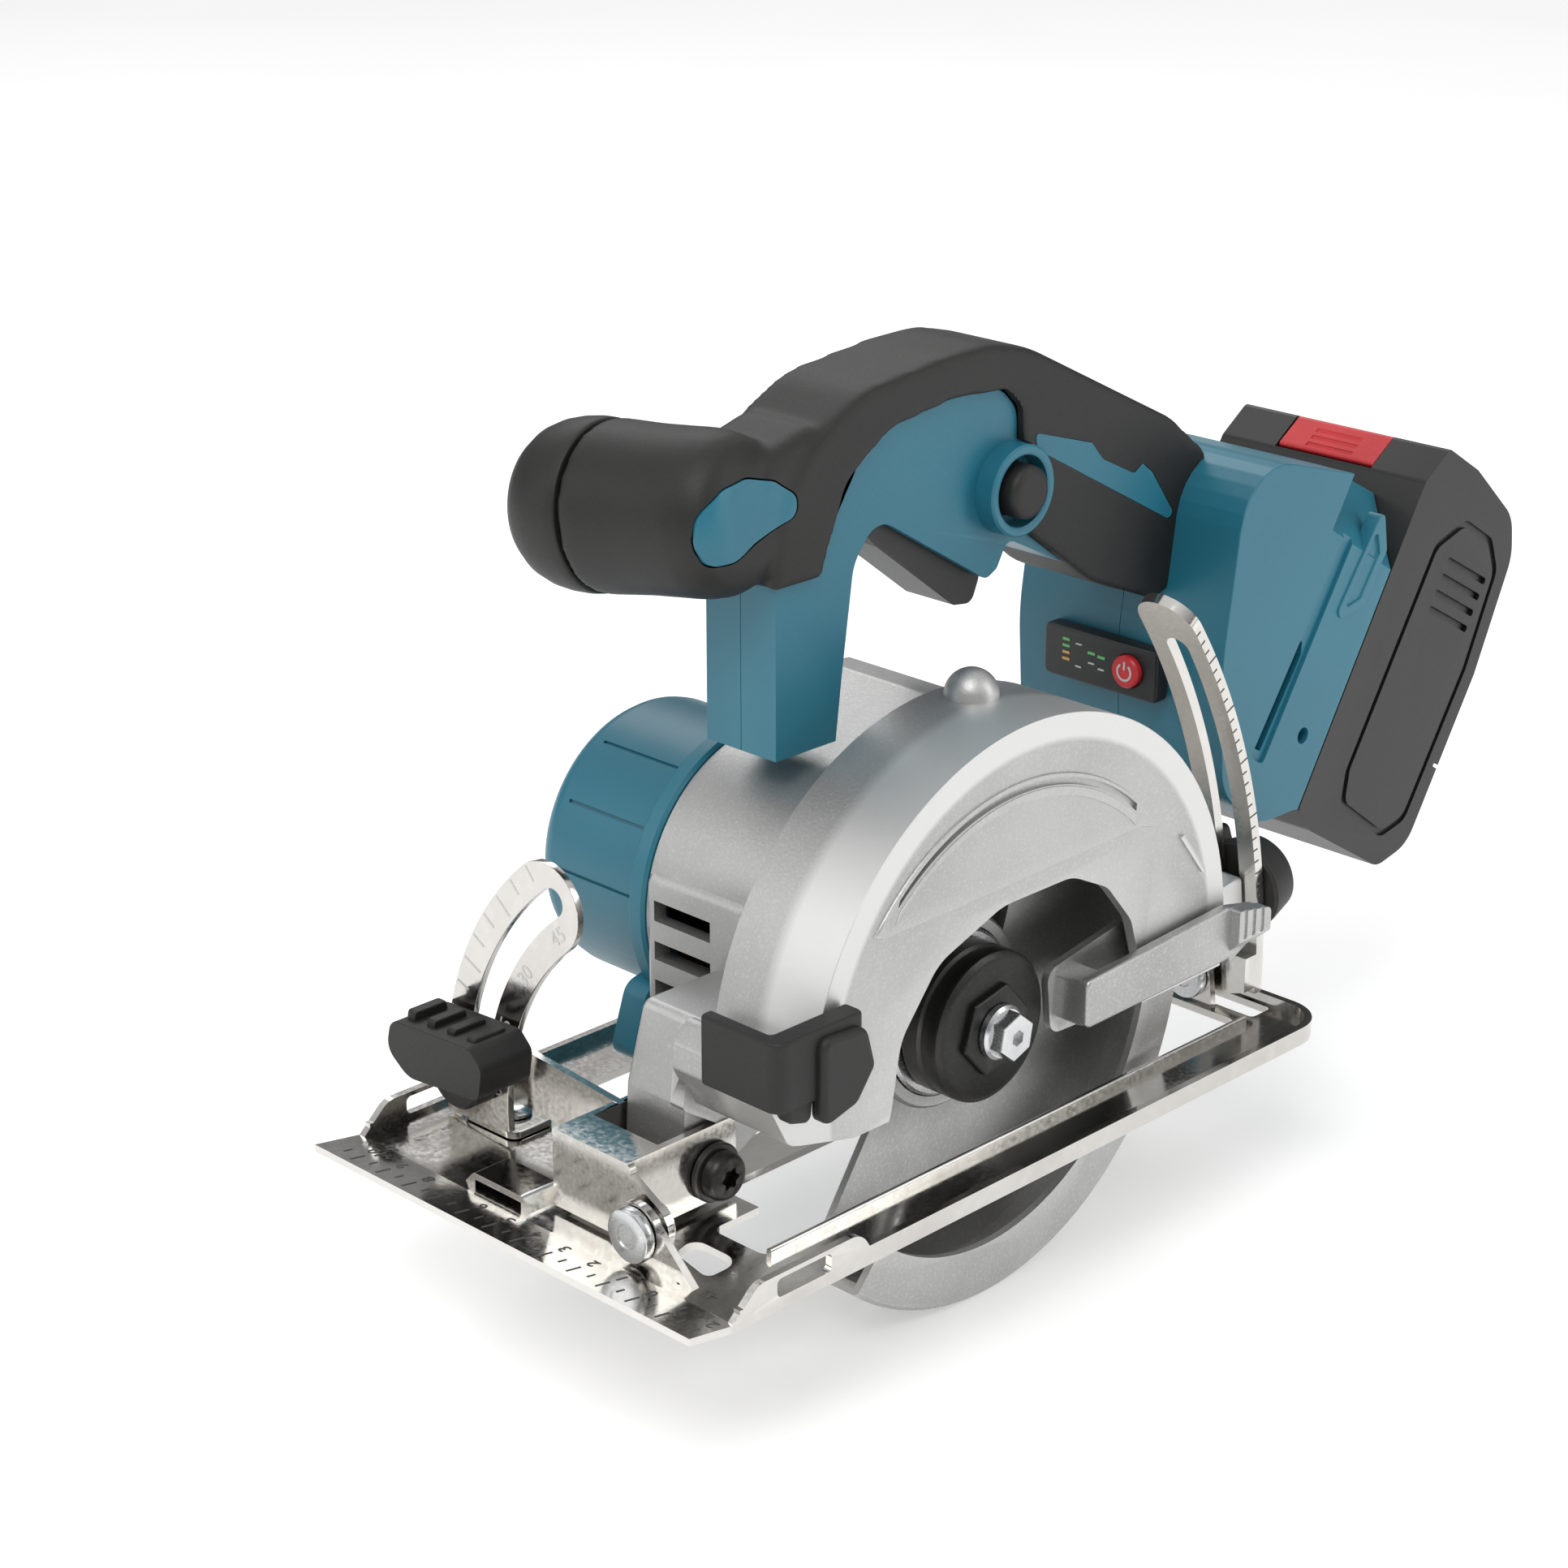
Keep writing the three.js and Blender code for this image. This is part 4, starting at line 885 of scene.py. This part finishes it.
def makeDepthScrew():
    obj = turned("screw", barProfile(3, 168, 201), place(pivot["x"], 30, pivot["z"]), clampRay, (0, 1, 0), 32)
    right, up = Vector((0, 1, 0)), Vector((-math.sin(clampLean), 0, math.cos(clampLean)))
    end = place(pivot["x"] + 200 * clampRay[0], 30, pivot["z"] + 200 * clampRay[2])
    head = plate("head", hexagon(0, 0, 10.4), facing(end, right, up), 0, 3)
    return tidy(weld(obj, soften(head, 0.5, 2, 40)))


def makeDepthLever():
    centre = place(pivot["x"], 30, pivot["z"])
    hub = [(3.3, 187.7), (12.2, 187.7), (13, 188.6), (12.8, 190), (11.2, 197.6), (10.2, 198.7), (3.3, 198.7),
           (3.3, 187.7)]
    obj = turned("hub", hub, centre, clampRay, (0, 1, 0), 48)
    lean = math.radians(-20)
    along, up = Vector((0, math.cos(lean), math.sin(lean))), Vector((0, -math.sin(lean), math.cos(lean)))
    spot = place(pivot["x"] + 193.2 * clampRay[0], 56, pivot["z"] + 199 * clampRay[2])
    arm = filleted([(-18, -5, 2), (20.6, -6, 4), (20.6, 5, 4), (-18, 6, 2)])
    weld(obj, soften(plate("arm", arm, facing(spot, along, up), -4.4, 4.4), 1.4, 3, 45))
    return tidy(carve(obj, turned("bore", barProfile(3.3, 160, 215), centre, clampRay, (0, 1, 0), 32)))


standFor(makeDepthScrew(), "depth_clamp_screw", "saw", paint["dark"])
standFor(makeDepthLever(), "depth_lever", "depth_clamp_lever", paint["rubber"])


# the motor barrel, with vents in its end and moulded grooves along it
def makeMotor():
    x, z, radius = motor["x"], motor["z"], motor["radius"]
    profile = [(33, 92.3), (41.2, 92.3), (42, 93.1), (42, 97), (41.3, 97.9), (38.6, 98.2), (37.5, 99),
               (37, 100.2), (37, 132), (36.6, 134.2), (35.4, 136.3), (33.4, 138), (31.4, 139.6),
               (28.6, 140.7), (25, 141), (9, 141), (8, 140.2), (8, 138), (9, 138), (9, 134), (33, 134),
               (33, 92.3)]
    obj = turnedY("barrel", x, z, profile, 96)
    lug = filleted([(68, 18, 4), (84, 14, 4), (100, 24), (92, 40), (74, 36, 5)])
    lug = plate("lug", lug, sideways, 92.3, 100)
    carve(lug, pin("room", x, z, 33.5, 80, 110))
    weld(obj, soften(lug, 1, 3, 45))
    holes = [pin("hole", 76, 25, 2.2, 90, 102)]
    for i in range(6):
        turn = math.radians(60 * i)
        spot = place(x + 22 * math.cos(turn), 130, z + 22 * math.sin(turn))
        way = facing(spot, (-math.sin(turn), 0, math.cos(turn)), (math.cos(turn), 0, math.sin(turn)))
        holes.append(plate("vent", roundedBox(-6, 6, -2.2, 2.2, 2), way, -16, 16))
    for degrees in (122, 150, 178):
        turn = math.radians(degrees)
        spot = place(x + radius * math.cos(turn), 116, z + radius * math.sin(turn))
        way = facing(spot, (0, 1, 0), (-math.sin(turn), 0, math.cos(turn)))
        holes.append(plate("groove", roundedBox(-14, 14, -0.45, 0.45, 0.3), way, -0.7, 2))
    return tidy(carve(obj, *holes))


standFor(makeMotor(), "motor_housing", "saw", paint["teal"])
screwSide = [(0, 88.3), (2.8, 88.3), (3.8, 88.9), (4.2, 89.9), (4.2, 92), (1.9, 92), (1.9, 98.6),
             (1.5, 99), (0, 99)]
screw = turnedY("screw", 76, 25, screwSide, 40)
carve(screw, plate("key", hexagon(76, 25, 3.4), sideways, 86, 90))
standFor(tidy(screw), "motor_housing_screw", "saw", paint["dark"])
print("motor made")


# the moving guard: a turned band with a face lip, a back web and a thumb lever
lower = {"radius": 74.4, "front": 19.5, "back": 38, "lip": 60, "wall": 3}


def makeLowerGuard():
    x, z, radius = arbor["x"], arbor["z"], lower["radius"]
    start, end = -131, 16
    front, backFace = lower["front"], lower["back"]
    band = ringPart(x, z, radius - lower["wall"], radius, start, end, 72)
    band = plate("band", band, sideways, front, backFace)
    roundEdges(band, 1.6, 4, lambda v: v.y < front + 0.1 and math.hypot(v.x - x, v.z - z) > radius - 0.1)
    lip = plate("lip", ringPart(x, z, lower["lip"], radius - 1.2, start, end, 64), sideways, front, front + 2)
    web = arc(x, z, radius - 1, start, end, 60) + [(186, 62), (150, 62)] + arc(x, z, 24, 30, 214, 24)
    spoke = filleted([(144, 42, 4), (186, 49), (194, 22), (146, 24, 4)])
    thumb = filleted([(148, 27.8, 2), (205, 28.8, 3), (219, 34, 3), (219, 41, 3), (205, 44, 3), (148, 41, 2)])
    thumb = plate("thumb", thumb, sideways, 9.4, 12.8)
    side = filleted([(206, 27.8, 1), (219.6, 34, 2), (219.6, 41, 2), (206, 43.5, 1)])
    tip = plate("tip", side, sideways, 5, 11)
    # its underside slopes, so that it clears the sole when the saw leans over
    slope = [(10.6, 27.8), (9.4, 27.8), (9.4, 31.4), (6.4, 34.4), (6.4, 44), (10.6, 44)]
    keepInside(tip, plate("slope", slope, lengthways, 200, 222))
    for i in range(3):
        carve(tip, plate("rib", roundedBox(208 + 3.6 * i, 209.4 + 3.6 * i, 35, 50, 0.4), sideways, 4, 7))
    weld(
        band,
        lip,
        plate("web", web, sideways, backFace - 2, backFace),
        plate("spoke", spoke, sideways, front, front + 2.2),
        soften(block("bridge", 148, 158, 11, 20.5, 28, 40), 1, 2, 45),
        soften(thumb, 0.9, 3, 45),
        soften(tip, 0.6, 2, 45),
        pin("hub", x, z, 26, 34.6, backFace, 0.8, 64),
    )
    carve(band, pin("seat", x, z, 22.6, 30, 36.8, 0, 64), pin("bore", x, z, 19.4, 30, 40, 0, 64))
    return tidy(band)


standFor(makeLowerGuard(), "lower_guard", "moving_guard", paint["guard"])


# the flanges that clamp the blade, and the arbor bolt
def makeOuterFlange():
    x, z = arbor["x"], arbor["z"]
    profile = [(4.1, 20), (17.5, 20), (18.9, 20.3), (19.8, 21.1), (20, 22.2), (20, 25.4), (19.6, 26),
               (4.1, 26), (4.1, 20)]
    obj = turnedY("flange", x, z, profile, 72)
    boss = plate("boss", filleted([(a, b, 1) for a, b in hexagon(x, z, 21, 12)]), sideways, 18.2, 21)
    roundEdges(boss, 0.7, 3, lambda v: v.y < 18.3)
    weld(obj, boss)
    return tidy(carve(obj, pin("bore", x, z, 4.1, 10, 30)))


def makeArborBolt():
    x, z = arbor["x"], arbor["z"]
    obj = plate("bolt", hexagon(x, z, 11, 20), sideways, 11.5, 16)
    roundEdges(obj, 0.7, 2, lambda v: v.y < 11.6)
    shank = [(0, 15.6), (6.4, 15.6), (7.2, 16.3), (7.2, 17.9), (3.7, 17.9), (3.7, 33.5), (3.2, 34), (0, 34)]
    weld(obj, turnedY("shank", x, z, shank, 48))
    return tidy(carve(obj, plate("key", hexagon(x, z, 3.8, 20), sideways, 10, 13.4)))


standFor(makeOuterFlange(), "outer_flange", "spindle", paint["dark"])
standFor(makeArborBolt(), "arbor_bolt", "spindle", paint["bright"])
flangeSide = [(6.3, 26.4), (19, 26.4), (20, 27.3), (20, 32.2), (19.2, 33), (6.3, 33), (6.3, 26.4)]
innerFlange = turnedY("flange", arbor["x"], arbor["z"], flangeSide, 72)
standFor(tidy(innerFlange), "inner_flange", "spindle", paint["dark"])
print("guard and flanges made")


# the handle: two teal halves with a battery housing, under a black overmould
handle = {"left": 62, "right": 86, "middle": 74, "edge": 3.6, "skin": 2.4, "skinRound": 9, "bulbRound": 14}
gripStart = place(81, 60, 166)
gripAxis = Vector((-9, 62, -7)).normalized()
gripTurn = Vector((0, 1, 0)).rotation_difference(gripAxis)
lockOff = (173, 154)      # the lock-off button, in length and height
powerKey = (66, 89.5)     # the power button, in width and height


def gripSide(a, b, depth):
    return gripStart + gripTurn @ (Vector((a, depth, b)) * mm)


def makeShell():
    bar = filleted([
        (90, 101.6), (111, 101.6), (113, 118, 30), (117, 146, 12), (125, 156, 8), (166, 131, 3),
        (170, 133, 2), (174, 140, 3), (206, 124), (233, 113, 4), (246, 118, 8), (252, 146, 6),
        (236, 158, 10), (206, 173, 30), (178, 187, 30), (164, 190.5, 25), (148, 190, 25), (120, 187, 30),
        (106, 180, 18), (94, 165, 18), (90, 146, 14)])
    obj = plate("bar", bar, sideways, handle["left"], handle["right"])
    roundEdges(obj, handle["edge"], 4, lambda v: v.y < handle["left"] + 0.1 or v.y > handle["right"] - 0.1)
    bulb = filleted([(294, 32.1), (343.4, 112), (295.5, 137, 30), (243, 152.5, 17), (235, 96, 70),
                     (237.5, 58, 17), (256, 45, 14), (273, 45, 12)])
    left, right = battery["left"], battery["right"]
    bulb = plate("bulb", bulb, sideways, left, right)
    roundEdges(bulb, handle["bulbRound"], 7, lambda v: v.y < left + 0.1 or v.y > right - 0.1)
    carve(bulb, plate("end", [(0, -60), (90, -60), (90, 150), (0, 150)], packSide, 20, 130))
    # the open end's upper corners slope in towards the battery's latch
    for y, side in ((left, 1), (right, -1)):
        slope = [(y - 9 * side, 59.6), (y, 72), (y + 16 * side, 94), (y + 16 * side, 108),
                 (y - 9 * side, 108)]
        carve(bulb, plate("slope", slope, packEnd, -34, 4))
    collar = [(9.4, 56.4), (10, 56), (11.4, 56), (12, 56.6), (12, 66), (9.4, 66), (9.4, 56.4)]
    collar = turnedY("collar", *lockOff, collar, 64)
    weld(obj, bulb, collar)
    gripRoom = [(123, 163), (150, 179), (165, 183), (190, 173), (228, 154), (230, 122), (206, 130),
                (182, 142), (168, 142), (163, 137)]
    triggerRoom = [(121, 158), (127, 145), (160, 121), (174, 126), (171, 146), (131, 167)]
    side = [(-31, 6, 1.5), (-24.5, 6, 1.5), (-22.5, 74, 1.5), (-27, 80, 1.5)]
    slotLine = [(-29.6, 9, 0.6), (-26.4, 9, 0.6), (-24.8, 38, 0.6), (-27.4, 43, 0.6)]
    carve(
        obj,
        plate("room", gripRoom, sideways, 65, 83),
        plate("room", triggerRoom, sideways, 65, 83),
        pin("room", *lockOff, 7.4, 50, 80),
        plate("rails", roundedBox(-6, 2, 20, 84, 2), packSide, 50, 98),
        plate("recess", filleted(side), packSide, 30, 39.1),
        plate("recess", filleted(side), packSide, 108.9, 120),
        plate("vent", filleted(slotLine), packSide, 30, 46),
        plate("vent", filleted(slotLine), packSide, 102, 120),
        turned("screw", barProfile(2.4, -10, 10), packSide(-11, 18.6, left), (0, 1, 0), (1, 0, 0), 32),
        pinX("key", *powerKey, 5, 226, 236),
    )
    for low, high in ((37.4, 42), (106, 110.6)):
        spear = filleted([(-18, 50, 2), (-7, 59, 2), (-6, 76, 2), (-15, 86, 1.5)])
        spear = plate("spear", spear, packSide, low, high)
        groove = filleted([(-15.6, 55, 1), (-9.6, 60.4, 1), (-8.8, 74, 1), (-14.2, 79.5, 1)])
        carve(
            spear,
            plate("groove", groove, packSide, low - 1, low + 0.9),
            plate("groove", groove, packSide, high - 0.9, high + 1),
        )
        weld(obj, soften(spear, 0.35, 2, 45))
    return obj


def makeSkin():
    strip = filleted([
        (88, 146), (104, 146), (112, 168, 10), (128, 178, 12), (150, 181, 14), (170, 180, 4), (176, 174, 4),
        (178, 142, 4), (206, 121.6), (233, 110.6, 6), (248, 116, 8), (254, 147, 8), (237, 160.4, 14),
        (207, 175.4, 40), (179, 189.4, 40), (164, 193, 30), (148, 192.4, 30), (119, 189.4, 30),
        (104, 182, 20), (91.6, 166, 20)])
    obj = plate("skin", strip, sideways, handle["left"] - handle["skin"], handle["right"] + handle["skin"])
    roundEdges(obj, handle["skinRound"], 6, lambda v: (v.y < 60 or v.y > 88) and v.z > 146.5)
    profile = [(0, 0), (10, 0), (13.5, 0.6), (17.2, 2.8), (19.4, 6.6), (20.4, 12), (20.6, 28), (21.4, 42),
               (21.4, 43.4), (0, 43.4)]
    weld(obj, turned("grip", profile, gripStart, gripAxis, gripTurn @ Vector((1, 0, 0)), 64))
    saddle = [(78, 152), (104, 147), (118, 168), (124, 182), (102, 183), (84, 178)]
    weld(obj, soften(plate("saddle", saddle, sideways, 60.5, 87.5), 4, 3, 30))
    return melt(obj, 1.15, 14)


# the two teal inlays in the soft grip, each corner with its radius
kidneyLine = [(-17, 4, 6), (-10, 8.5, 6), (-2, 9.5, 8), (7, 7, 6), (13.5, 2.5, 4), (13.5, -2.5, 3),
              (7, -4.5, 8), (-1, -6.2, 10), (-8, -9, 8), (-15, -9, 4), (-18, -3, 5)]
arrowLine = [(181, 167, 1), (203.6, 160, 2), (208.5, 154.6, 2), (221, 148.4, 1), (224.6, 150.4, 1),
             (229, 147, 1), (238.6, 134, 2), (236.6, 132.6, 1.5), (182, 162.4, 1)]


def grown(line, amount):
    # the outline moved outwards all round
    middle = Vector((sum(p[0] for p in line) / len(line), sum(p[1] for p in line) / len(line)))
    made = []
    for a, b, radius in line:
        out = Vector((a, b)) - middle
        out = out + out.normalized() * amount
        made.append((middle.x + out.x, middle.y + out.y, radius))
    return made


def makeHandleParts():
    skin = makeSkin()
    kidney = plate("kidney", filleted(kidneyLine), gripSide, -3, 4.6)
    keepInside(kidney, copyOf(skin))
    arrow = plate("arrow", filleted(arrowLine), sideways, 56, 61.2)
    keepInside(arrow, copyOf(skin))
    shell = makeShell()
    bare = filleted([(80, 90), (80, 145.8), (103.7, 145.8), (111.6, 168.4, 10), (127.6, 178.4, 12),
                     (150, 181.4, 14), (170.3, 180.4, 4), (176.4, 174.4, 4), (178.4, 142, 4), (178, 90)])
    carve(
        skin,
        plate("kidney", filleted(grown(kidneyLine, 0.5)), gripSide, -4, 5),
        plate("arrow", filleted(grown(arrowLine, 0.4)), sideways, 54, 61.5),
        pin("collar", *lockOff, 12.4, 50, 72),
        plate("bare", bare, sideways, 40, handle["left"]),
        plate("bare", bare, sideways, handle["right"], 110),
    )
    return skin, kidney, arrow, shell


def halfOf(obj, y, clearOuter):
    # the shells part along the middle, with a fine seam between them
    choose(obj)
    bpy.ops.object.mode_set(mode="EDIT")
    bpy.ops.mesh.select_all(action="SELECT")
    bpy.ops.mesh.bisect(plane_co=place(0, y, 0), plane_no=(0, 1, 0), use_fill=True,
                        clear_outer=clearOuter, clear_inner=not clearOuter)
    bpy.ops.object.mode_set(mode="OBJECT")
    return tidy(obj)


skin, kidney, arrow, shell = makeHandleParts()
other = copyOf(shell)
seam = 0.1
standFor(halfOf(shell, handle["middle"] - seam, True), "handle_left", "saw", paint["teal"])
standFor(halfOf(other, handle["middle"] + seam, False), "handle_right", "saw", paint["teal"])
standFor(tidy(skin, 50), "grip_overmould", "saw", paint["rubber"])
standFor(tidy(kidney, 40), "front_grip_insert", "saw", paint["teal"])
standFor(tidy(arrow, 40), "rear_grip_insert", "saw", paint["teal"])
capSide = [(0, 43.8), (20.7, 43.8), (21.4, 44.4), (21.6, 47), (21.4, 51), (20.7, 55), (19.3, 58.8), (17, 62),
           (13.6, 64.6), (9, 66.3), (4, 66.9), (0, 67)]
cap = turned("cap", capSide, gripStart, gripAxis, gripTurn @ Vector((1, 0, 0)), 96)
standFor(tidy(cap, 50), "front_grip_cap", "saw", paint["rubber"])
print("handle made")


def makeTrigger():
    side = filleted([(126, 160, 2), (124, 152, 3), (129, 147, 3), (158, 125, 3), (165, 124, 3), (168, 131, 3),
                     (161, 141, 4), (134, 161, 3)])
    obj = plate("trigger", side, sideways, 66, 82)
    roundEdges(obj, 1.8, 3, lambda v: v.y < 66.1 or v.y > 81.9)
    return tidy(carve(obj, pin("pin", 129.5, 156, 2.2, 60, 90)))


standFor(makeTrigger(), "trigger", "trigger", paint["black"])
pushSide = [(0, 53.5), (4.4, 53.1), (6, 53.4), (6.8, 54.2), (7, 55.4), (7, 64), (0, 64)]
push = turnedY("push", *lockOff, pushSide, 48)
standFor(tidy(push, 40), "lock_off_button", "lock_off", paint["rubber"])


# the charge display beside the power button, with plain bars for lights
def makeDisplay():
    obj = plate("display", roundedBox(56, 96, 82, 97, 2), lengthways, 230, 234.4)
    roundEdges(obj, 0.8, 2, lambda v: v.x < 230.1)
    return tidy(carve(obj, pinX("well", *powerKey, 4.9, 229, 232.8)))


def lightRow(spots, wide, tall):
    outline = roundedBox(-wide / 2, wide / 2, -tall / 2, tall / 2, 0.2, 2)
    bars = []
    for y, z in spots:
        bars.append(plate("bar", outline, facing(place(230, y, z), (0, -1, 0), (0, 0, 1)), -0.2, 0.15))
    return tidy(gather(*bars), weighted=False)


def lightPiece(name, bars, colour):
    finishPiece(bars, name, "saw", paint[colour])


standFor(makeDisplay(), "display_panel", "saw", paint["black"])
greenBars = lightRow([(88, 93.5), (88, 91.6), (79, 91.4), (75.5, 91)], 2.6, 0.8)
lightPiece("display_green_marks", greenBars, "greenLight")
lightPiece("display_amber_marks", lightRow([(88, 89.7), (88, 87.8)], 2.6, 0.8), "amberLight")
paleBars = lightRow([(83.5, 93), (79, 88.5), (75.5, 87.5), (83.5, 86.5)], 2.2, 0.5)
lightPiece("display_pale_marks", paleBars, "pale")
key = pinX("key", *powerKey, 4.6, 228.2, 230.9, 0.5)
standFor(tidy(key), "power_button", "power_key", paint["red"])
keyFace = facing(place(228.2, *powerKey), (0, -1, 0), (0, 0, 1))
sign = plate("sign", ringPart(0, 0, 2, 2.6, 125, 415, 30), keyFace, -0.1, 0.12)
gather(sign, plate("stroke", roundedBox(-0.3, 0.3, 0.6, 3, 0.2), keyFace, -0.1, 0.12))
finishPiece(tidy(sign, weighted=False), "power_button_sign", "power_key", paint["pale"])
print("controls made")


# the battery leans with the housing: rails in front, latch on top, finger ribs near its upper rear corner
pack = {"round": 8, "groove": 0.9, "ribs": 4, "ribPitch": 5}


def makeBattery():
    left, right = battery["left"], battery["right"]
    side = filleted([(0.6, 0, 2), (10, -4, 6), (50, -4, 8), (61, 6, 12), (62, 60), (58, 96, 14),
                     (50, 106, 12), (24, 111, 6), (6, 111, 2), (0.6, 99, 3)])
    obj = plate("battery", side, packSide, left, right)
    roundEdges(obj, pack["round"], 6, lambda v: (v.y < left + 0.1 or v.y > right - 0.1) and v.x > 284)
    panel = filleted([(20, 6, 4), (46, 4, 6), (55, 12, 6), (56.5, 60), (53, 90, 6), (44, 97, 5), (27, 97, 6),
                      (17, 86, 6), (16, 16, 4)])
    inner = filleted([(21.5, 8, 4), (45.4, 6, 6), (53.2, 13, 6), (54.7, 60), (51.4, 88.6, 6), (43, 95, 5),
                      (28, 95, 6), (18.8, 85, 6), (17.8, 17, 4)])
    for low, high, deeper in ((left - 2, left + pack["groove"], 0.4), (right - pack["groove"], right + 2, 0)):
        border = plate("border", panel, packSide, low, high)
        carve(obj, carve(border, plate("inner", inner, packSide, low - 1, high + 1)))
        for i in range(pack["ribs"]):
            up = 68 + pack["ribPitch"] * i
            rib = filleted([(26, up, 0.9), (49, up + 1, 0.9), (49, up + 3, 0.9), (26, up + 2, 0.9)])
            carve(obj, plate("rib", rib, packSide, low, high + deeper))
    carve(
        obj,
        plate("latch", roundedBox(-2, 11.8, 99.2, 114, 1), packSide, 57, 91),
        plate("latch", roundedBox(10, 24, 20, 30, 1), packSide, 46, 102),
        plate("room", roundedBox(9, 54, 30, 96.6, 2), packSide, 46, 102),
        plate("rails", roundedBox(-1, 8.6, 20, 84, 1), packSide, 66, 82),
        plate("seam", roundedBox(59, 70, 30, 31.2, 0.3), packSide, 30, 120),
    )
    soften(obj, 0.35, 2, 50)
    return tidy(obj, 40)


def makeLatch():
    side = filleted([(1.1, 99.8, 1), (9, 99.8), (9, 111), (6.4, 111, 1.5)])
    obj = plate("latch", side, packSide, 57.4, 90.6)
    roundEdges(obj, 1, 2, lambda v: v.y < 57.5 or v.y > 90.5)
    for i in range(3):
        out, up = 1.9 + 1.15 * i, 102.2 + 2.55 * i
        line = [(out - 3, up), (out + 0.5, up - 0.5), (out + 0.9, up + 0.8), (out - 2.4, up + 1.4)]
        carve(obj, plate("rib", line, packSide, 66, 82))
    return tidy(obj)


standFor(makeBattery(), "battery_case", "battery", paint["black"])
standFor(makeLatch(), "battery_release_button", "battery_button", paint["red"])
print("battery made")


# the parts inside keep their shapes and get the same finishes
innerFinishes = {
    "stator": "winding", "spindle_bearing": "bright", "rotor_bearing": "bright", "trigger_switch": "black",
    "control_board": "board", "spindle": "bright", "spindle_gear": "bright", "rotor": "bright",
    "pinion": "bright", "fan": "black", "battery_cells": "cell",
}
for name, finish in innerFinishes.items():
    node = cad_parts[name]
    node.data.materials.clear()
    node.data.materials.append(paint[finish])
print("inner parts finished")


# pale floor just under the moving guard, soft light and the camera
stage = {"floor": -0.0416, "size": 14, "lens": 78.26, "away": 0.86,
         "aim": (-0.0067, 0.0253, 0.0852), "towards": (-0.6631, -0.6562, 0.3602)}
choose(None)
bpy.ops.mesh.primitive_plane_add(size=stage["size"], location=(0, 0, stage["floor"]))
floor = bpy.context.object
floor.name = "floor"
floorPaint = bpy.data.materials.new("floor")
floorPaint.use_nodes = True
nodes, links = floorPaint.node_tree.nodes, floorPaint.node_tree.links
coords = nodes.new("ShaderNodeTexCoord").outputs["Object"]
cloud = noise(nodes, links, coords, 3, 3)
floorSkin = nodes["Principled BSDF"]
floorTint = mixed(nodes, links, ranged(nodes, links, cloud, 0, 1), (0.93, 0.93, 0.93), (0.9, 0.9, 0.9))
links.new(floorTint, floorSkin.inputs["Base Color"])
floorSkin.inputs["Roughness"].default_value = 0.9
floorSkin.inputs["Emission Color"].default_value = (1, 1, 1, 1)
floorSkin.inputs["Emission Strength"].default_value = 0.3
floor.data.materials.append(floorPaint)


def softLight(name, spot, aim, power, size, tall):
    bpy.ops.object.light_add(type="AREA", location=spot)
    lamp = bpy.context.object
    lamp.name = name
    lamp.data.shape = "RECTANGLE"
    lamp.data.size, lamp.data.size_y = size, tall
    lamp.data.energy = power
    lamp.rotation_euler = (Vector(aim) - Vector(spot)).to_track_quat("-Z", "Y").to_euler()
    return lamp


middle = (0, 0.02, 0.08)
softLight("key", (-0.9, -0.5, 1.5), middle, 10.5, 0.9, 0.9)
softLight("fill", (-1.2, 0.9, 0.7), middle, 3.6, 0.5, 1.0)
softLight("side", (0.9, -1.2, 0.7), middle, 5, 0.5, 1.1)
softLight("back", (0.8, 1.2, 1.2), middle, 5, 1.0, 0.6)

world = bpy.data.worlds.new("studio")
bpy.context.scene.world = world
world.use_nodes = True
nodes, links = world.node_tree.nodes, world.node_tree.links
sky = nodes.new("ShaderNodeTexCoord").outputs["Generated"]
split = nodes.new("ShaderNodeSeparateXYZ")
links.new(sky, split.inputs["Vector"])
share = ranged(nodes, links, split.outputs["Z"], 0, 1, 0.12, 0.8)
skyTint = mixed(nodes, links, share, (0.13, 0.13, 0.135), (1.0, 1.0, 1.0))
links.new(skyTint, nodes["Background"].inputs["Color"])
nodes["Background"].inputs["Strength"].default_value = 0.8

back = Vector(stage["towards"]).normalized()
aim = Vector(stage["aim"])
bpy.ops.object.camera_add(location=aim + back * stage["away"])
camera = bpy.context.object
camera.rotation_euler = (-back).to_track_quat("-Z", "Y").to_euler()
camera.data.lens = stage["lens"]
camera.data.clip_start = 0.01
bpy.context.scene.camera = camera
bpy.context.scene.view_settings.view_transform = "Standard"
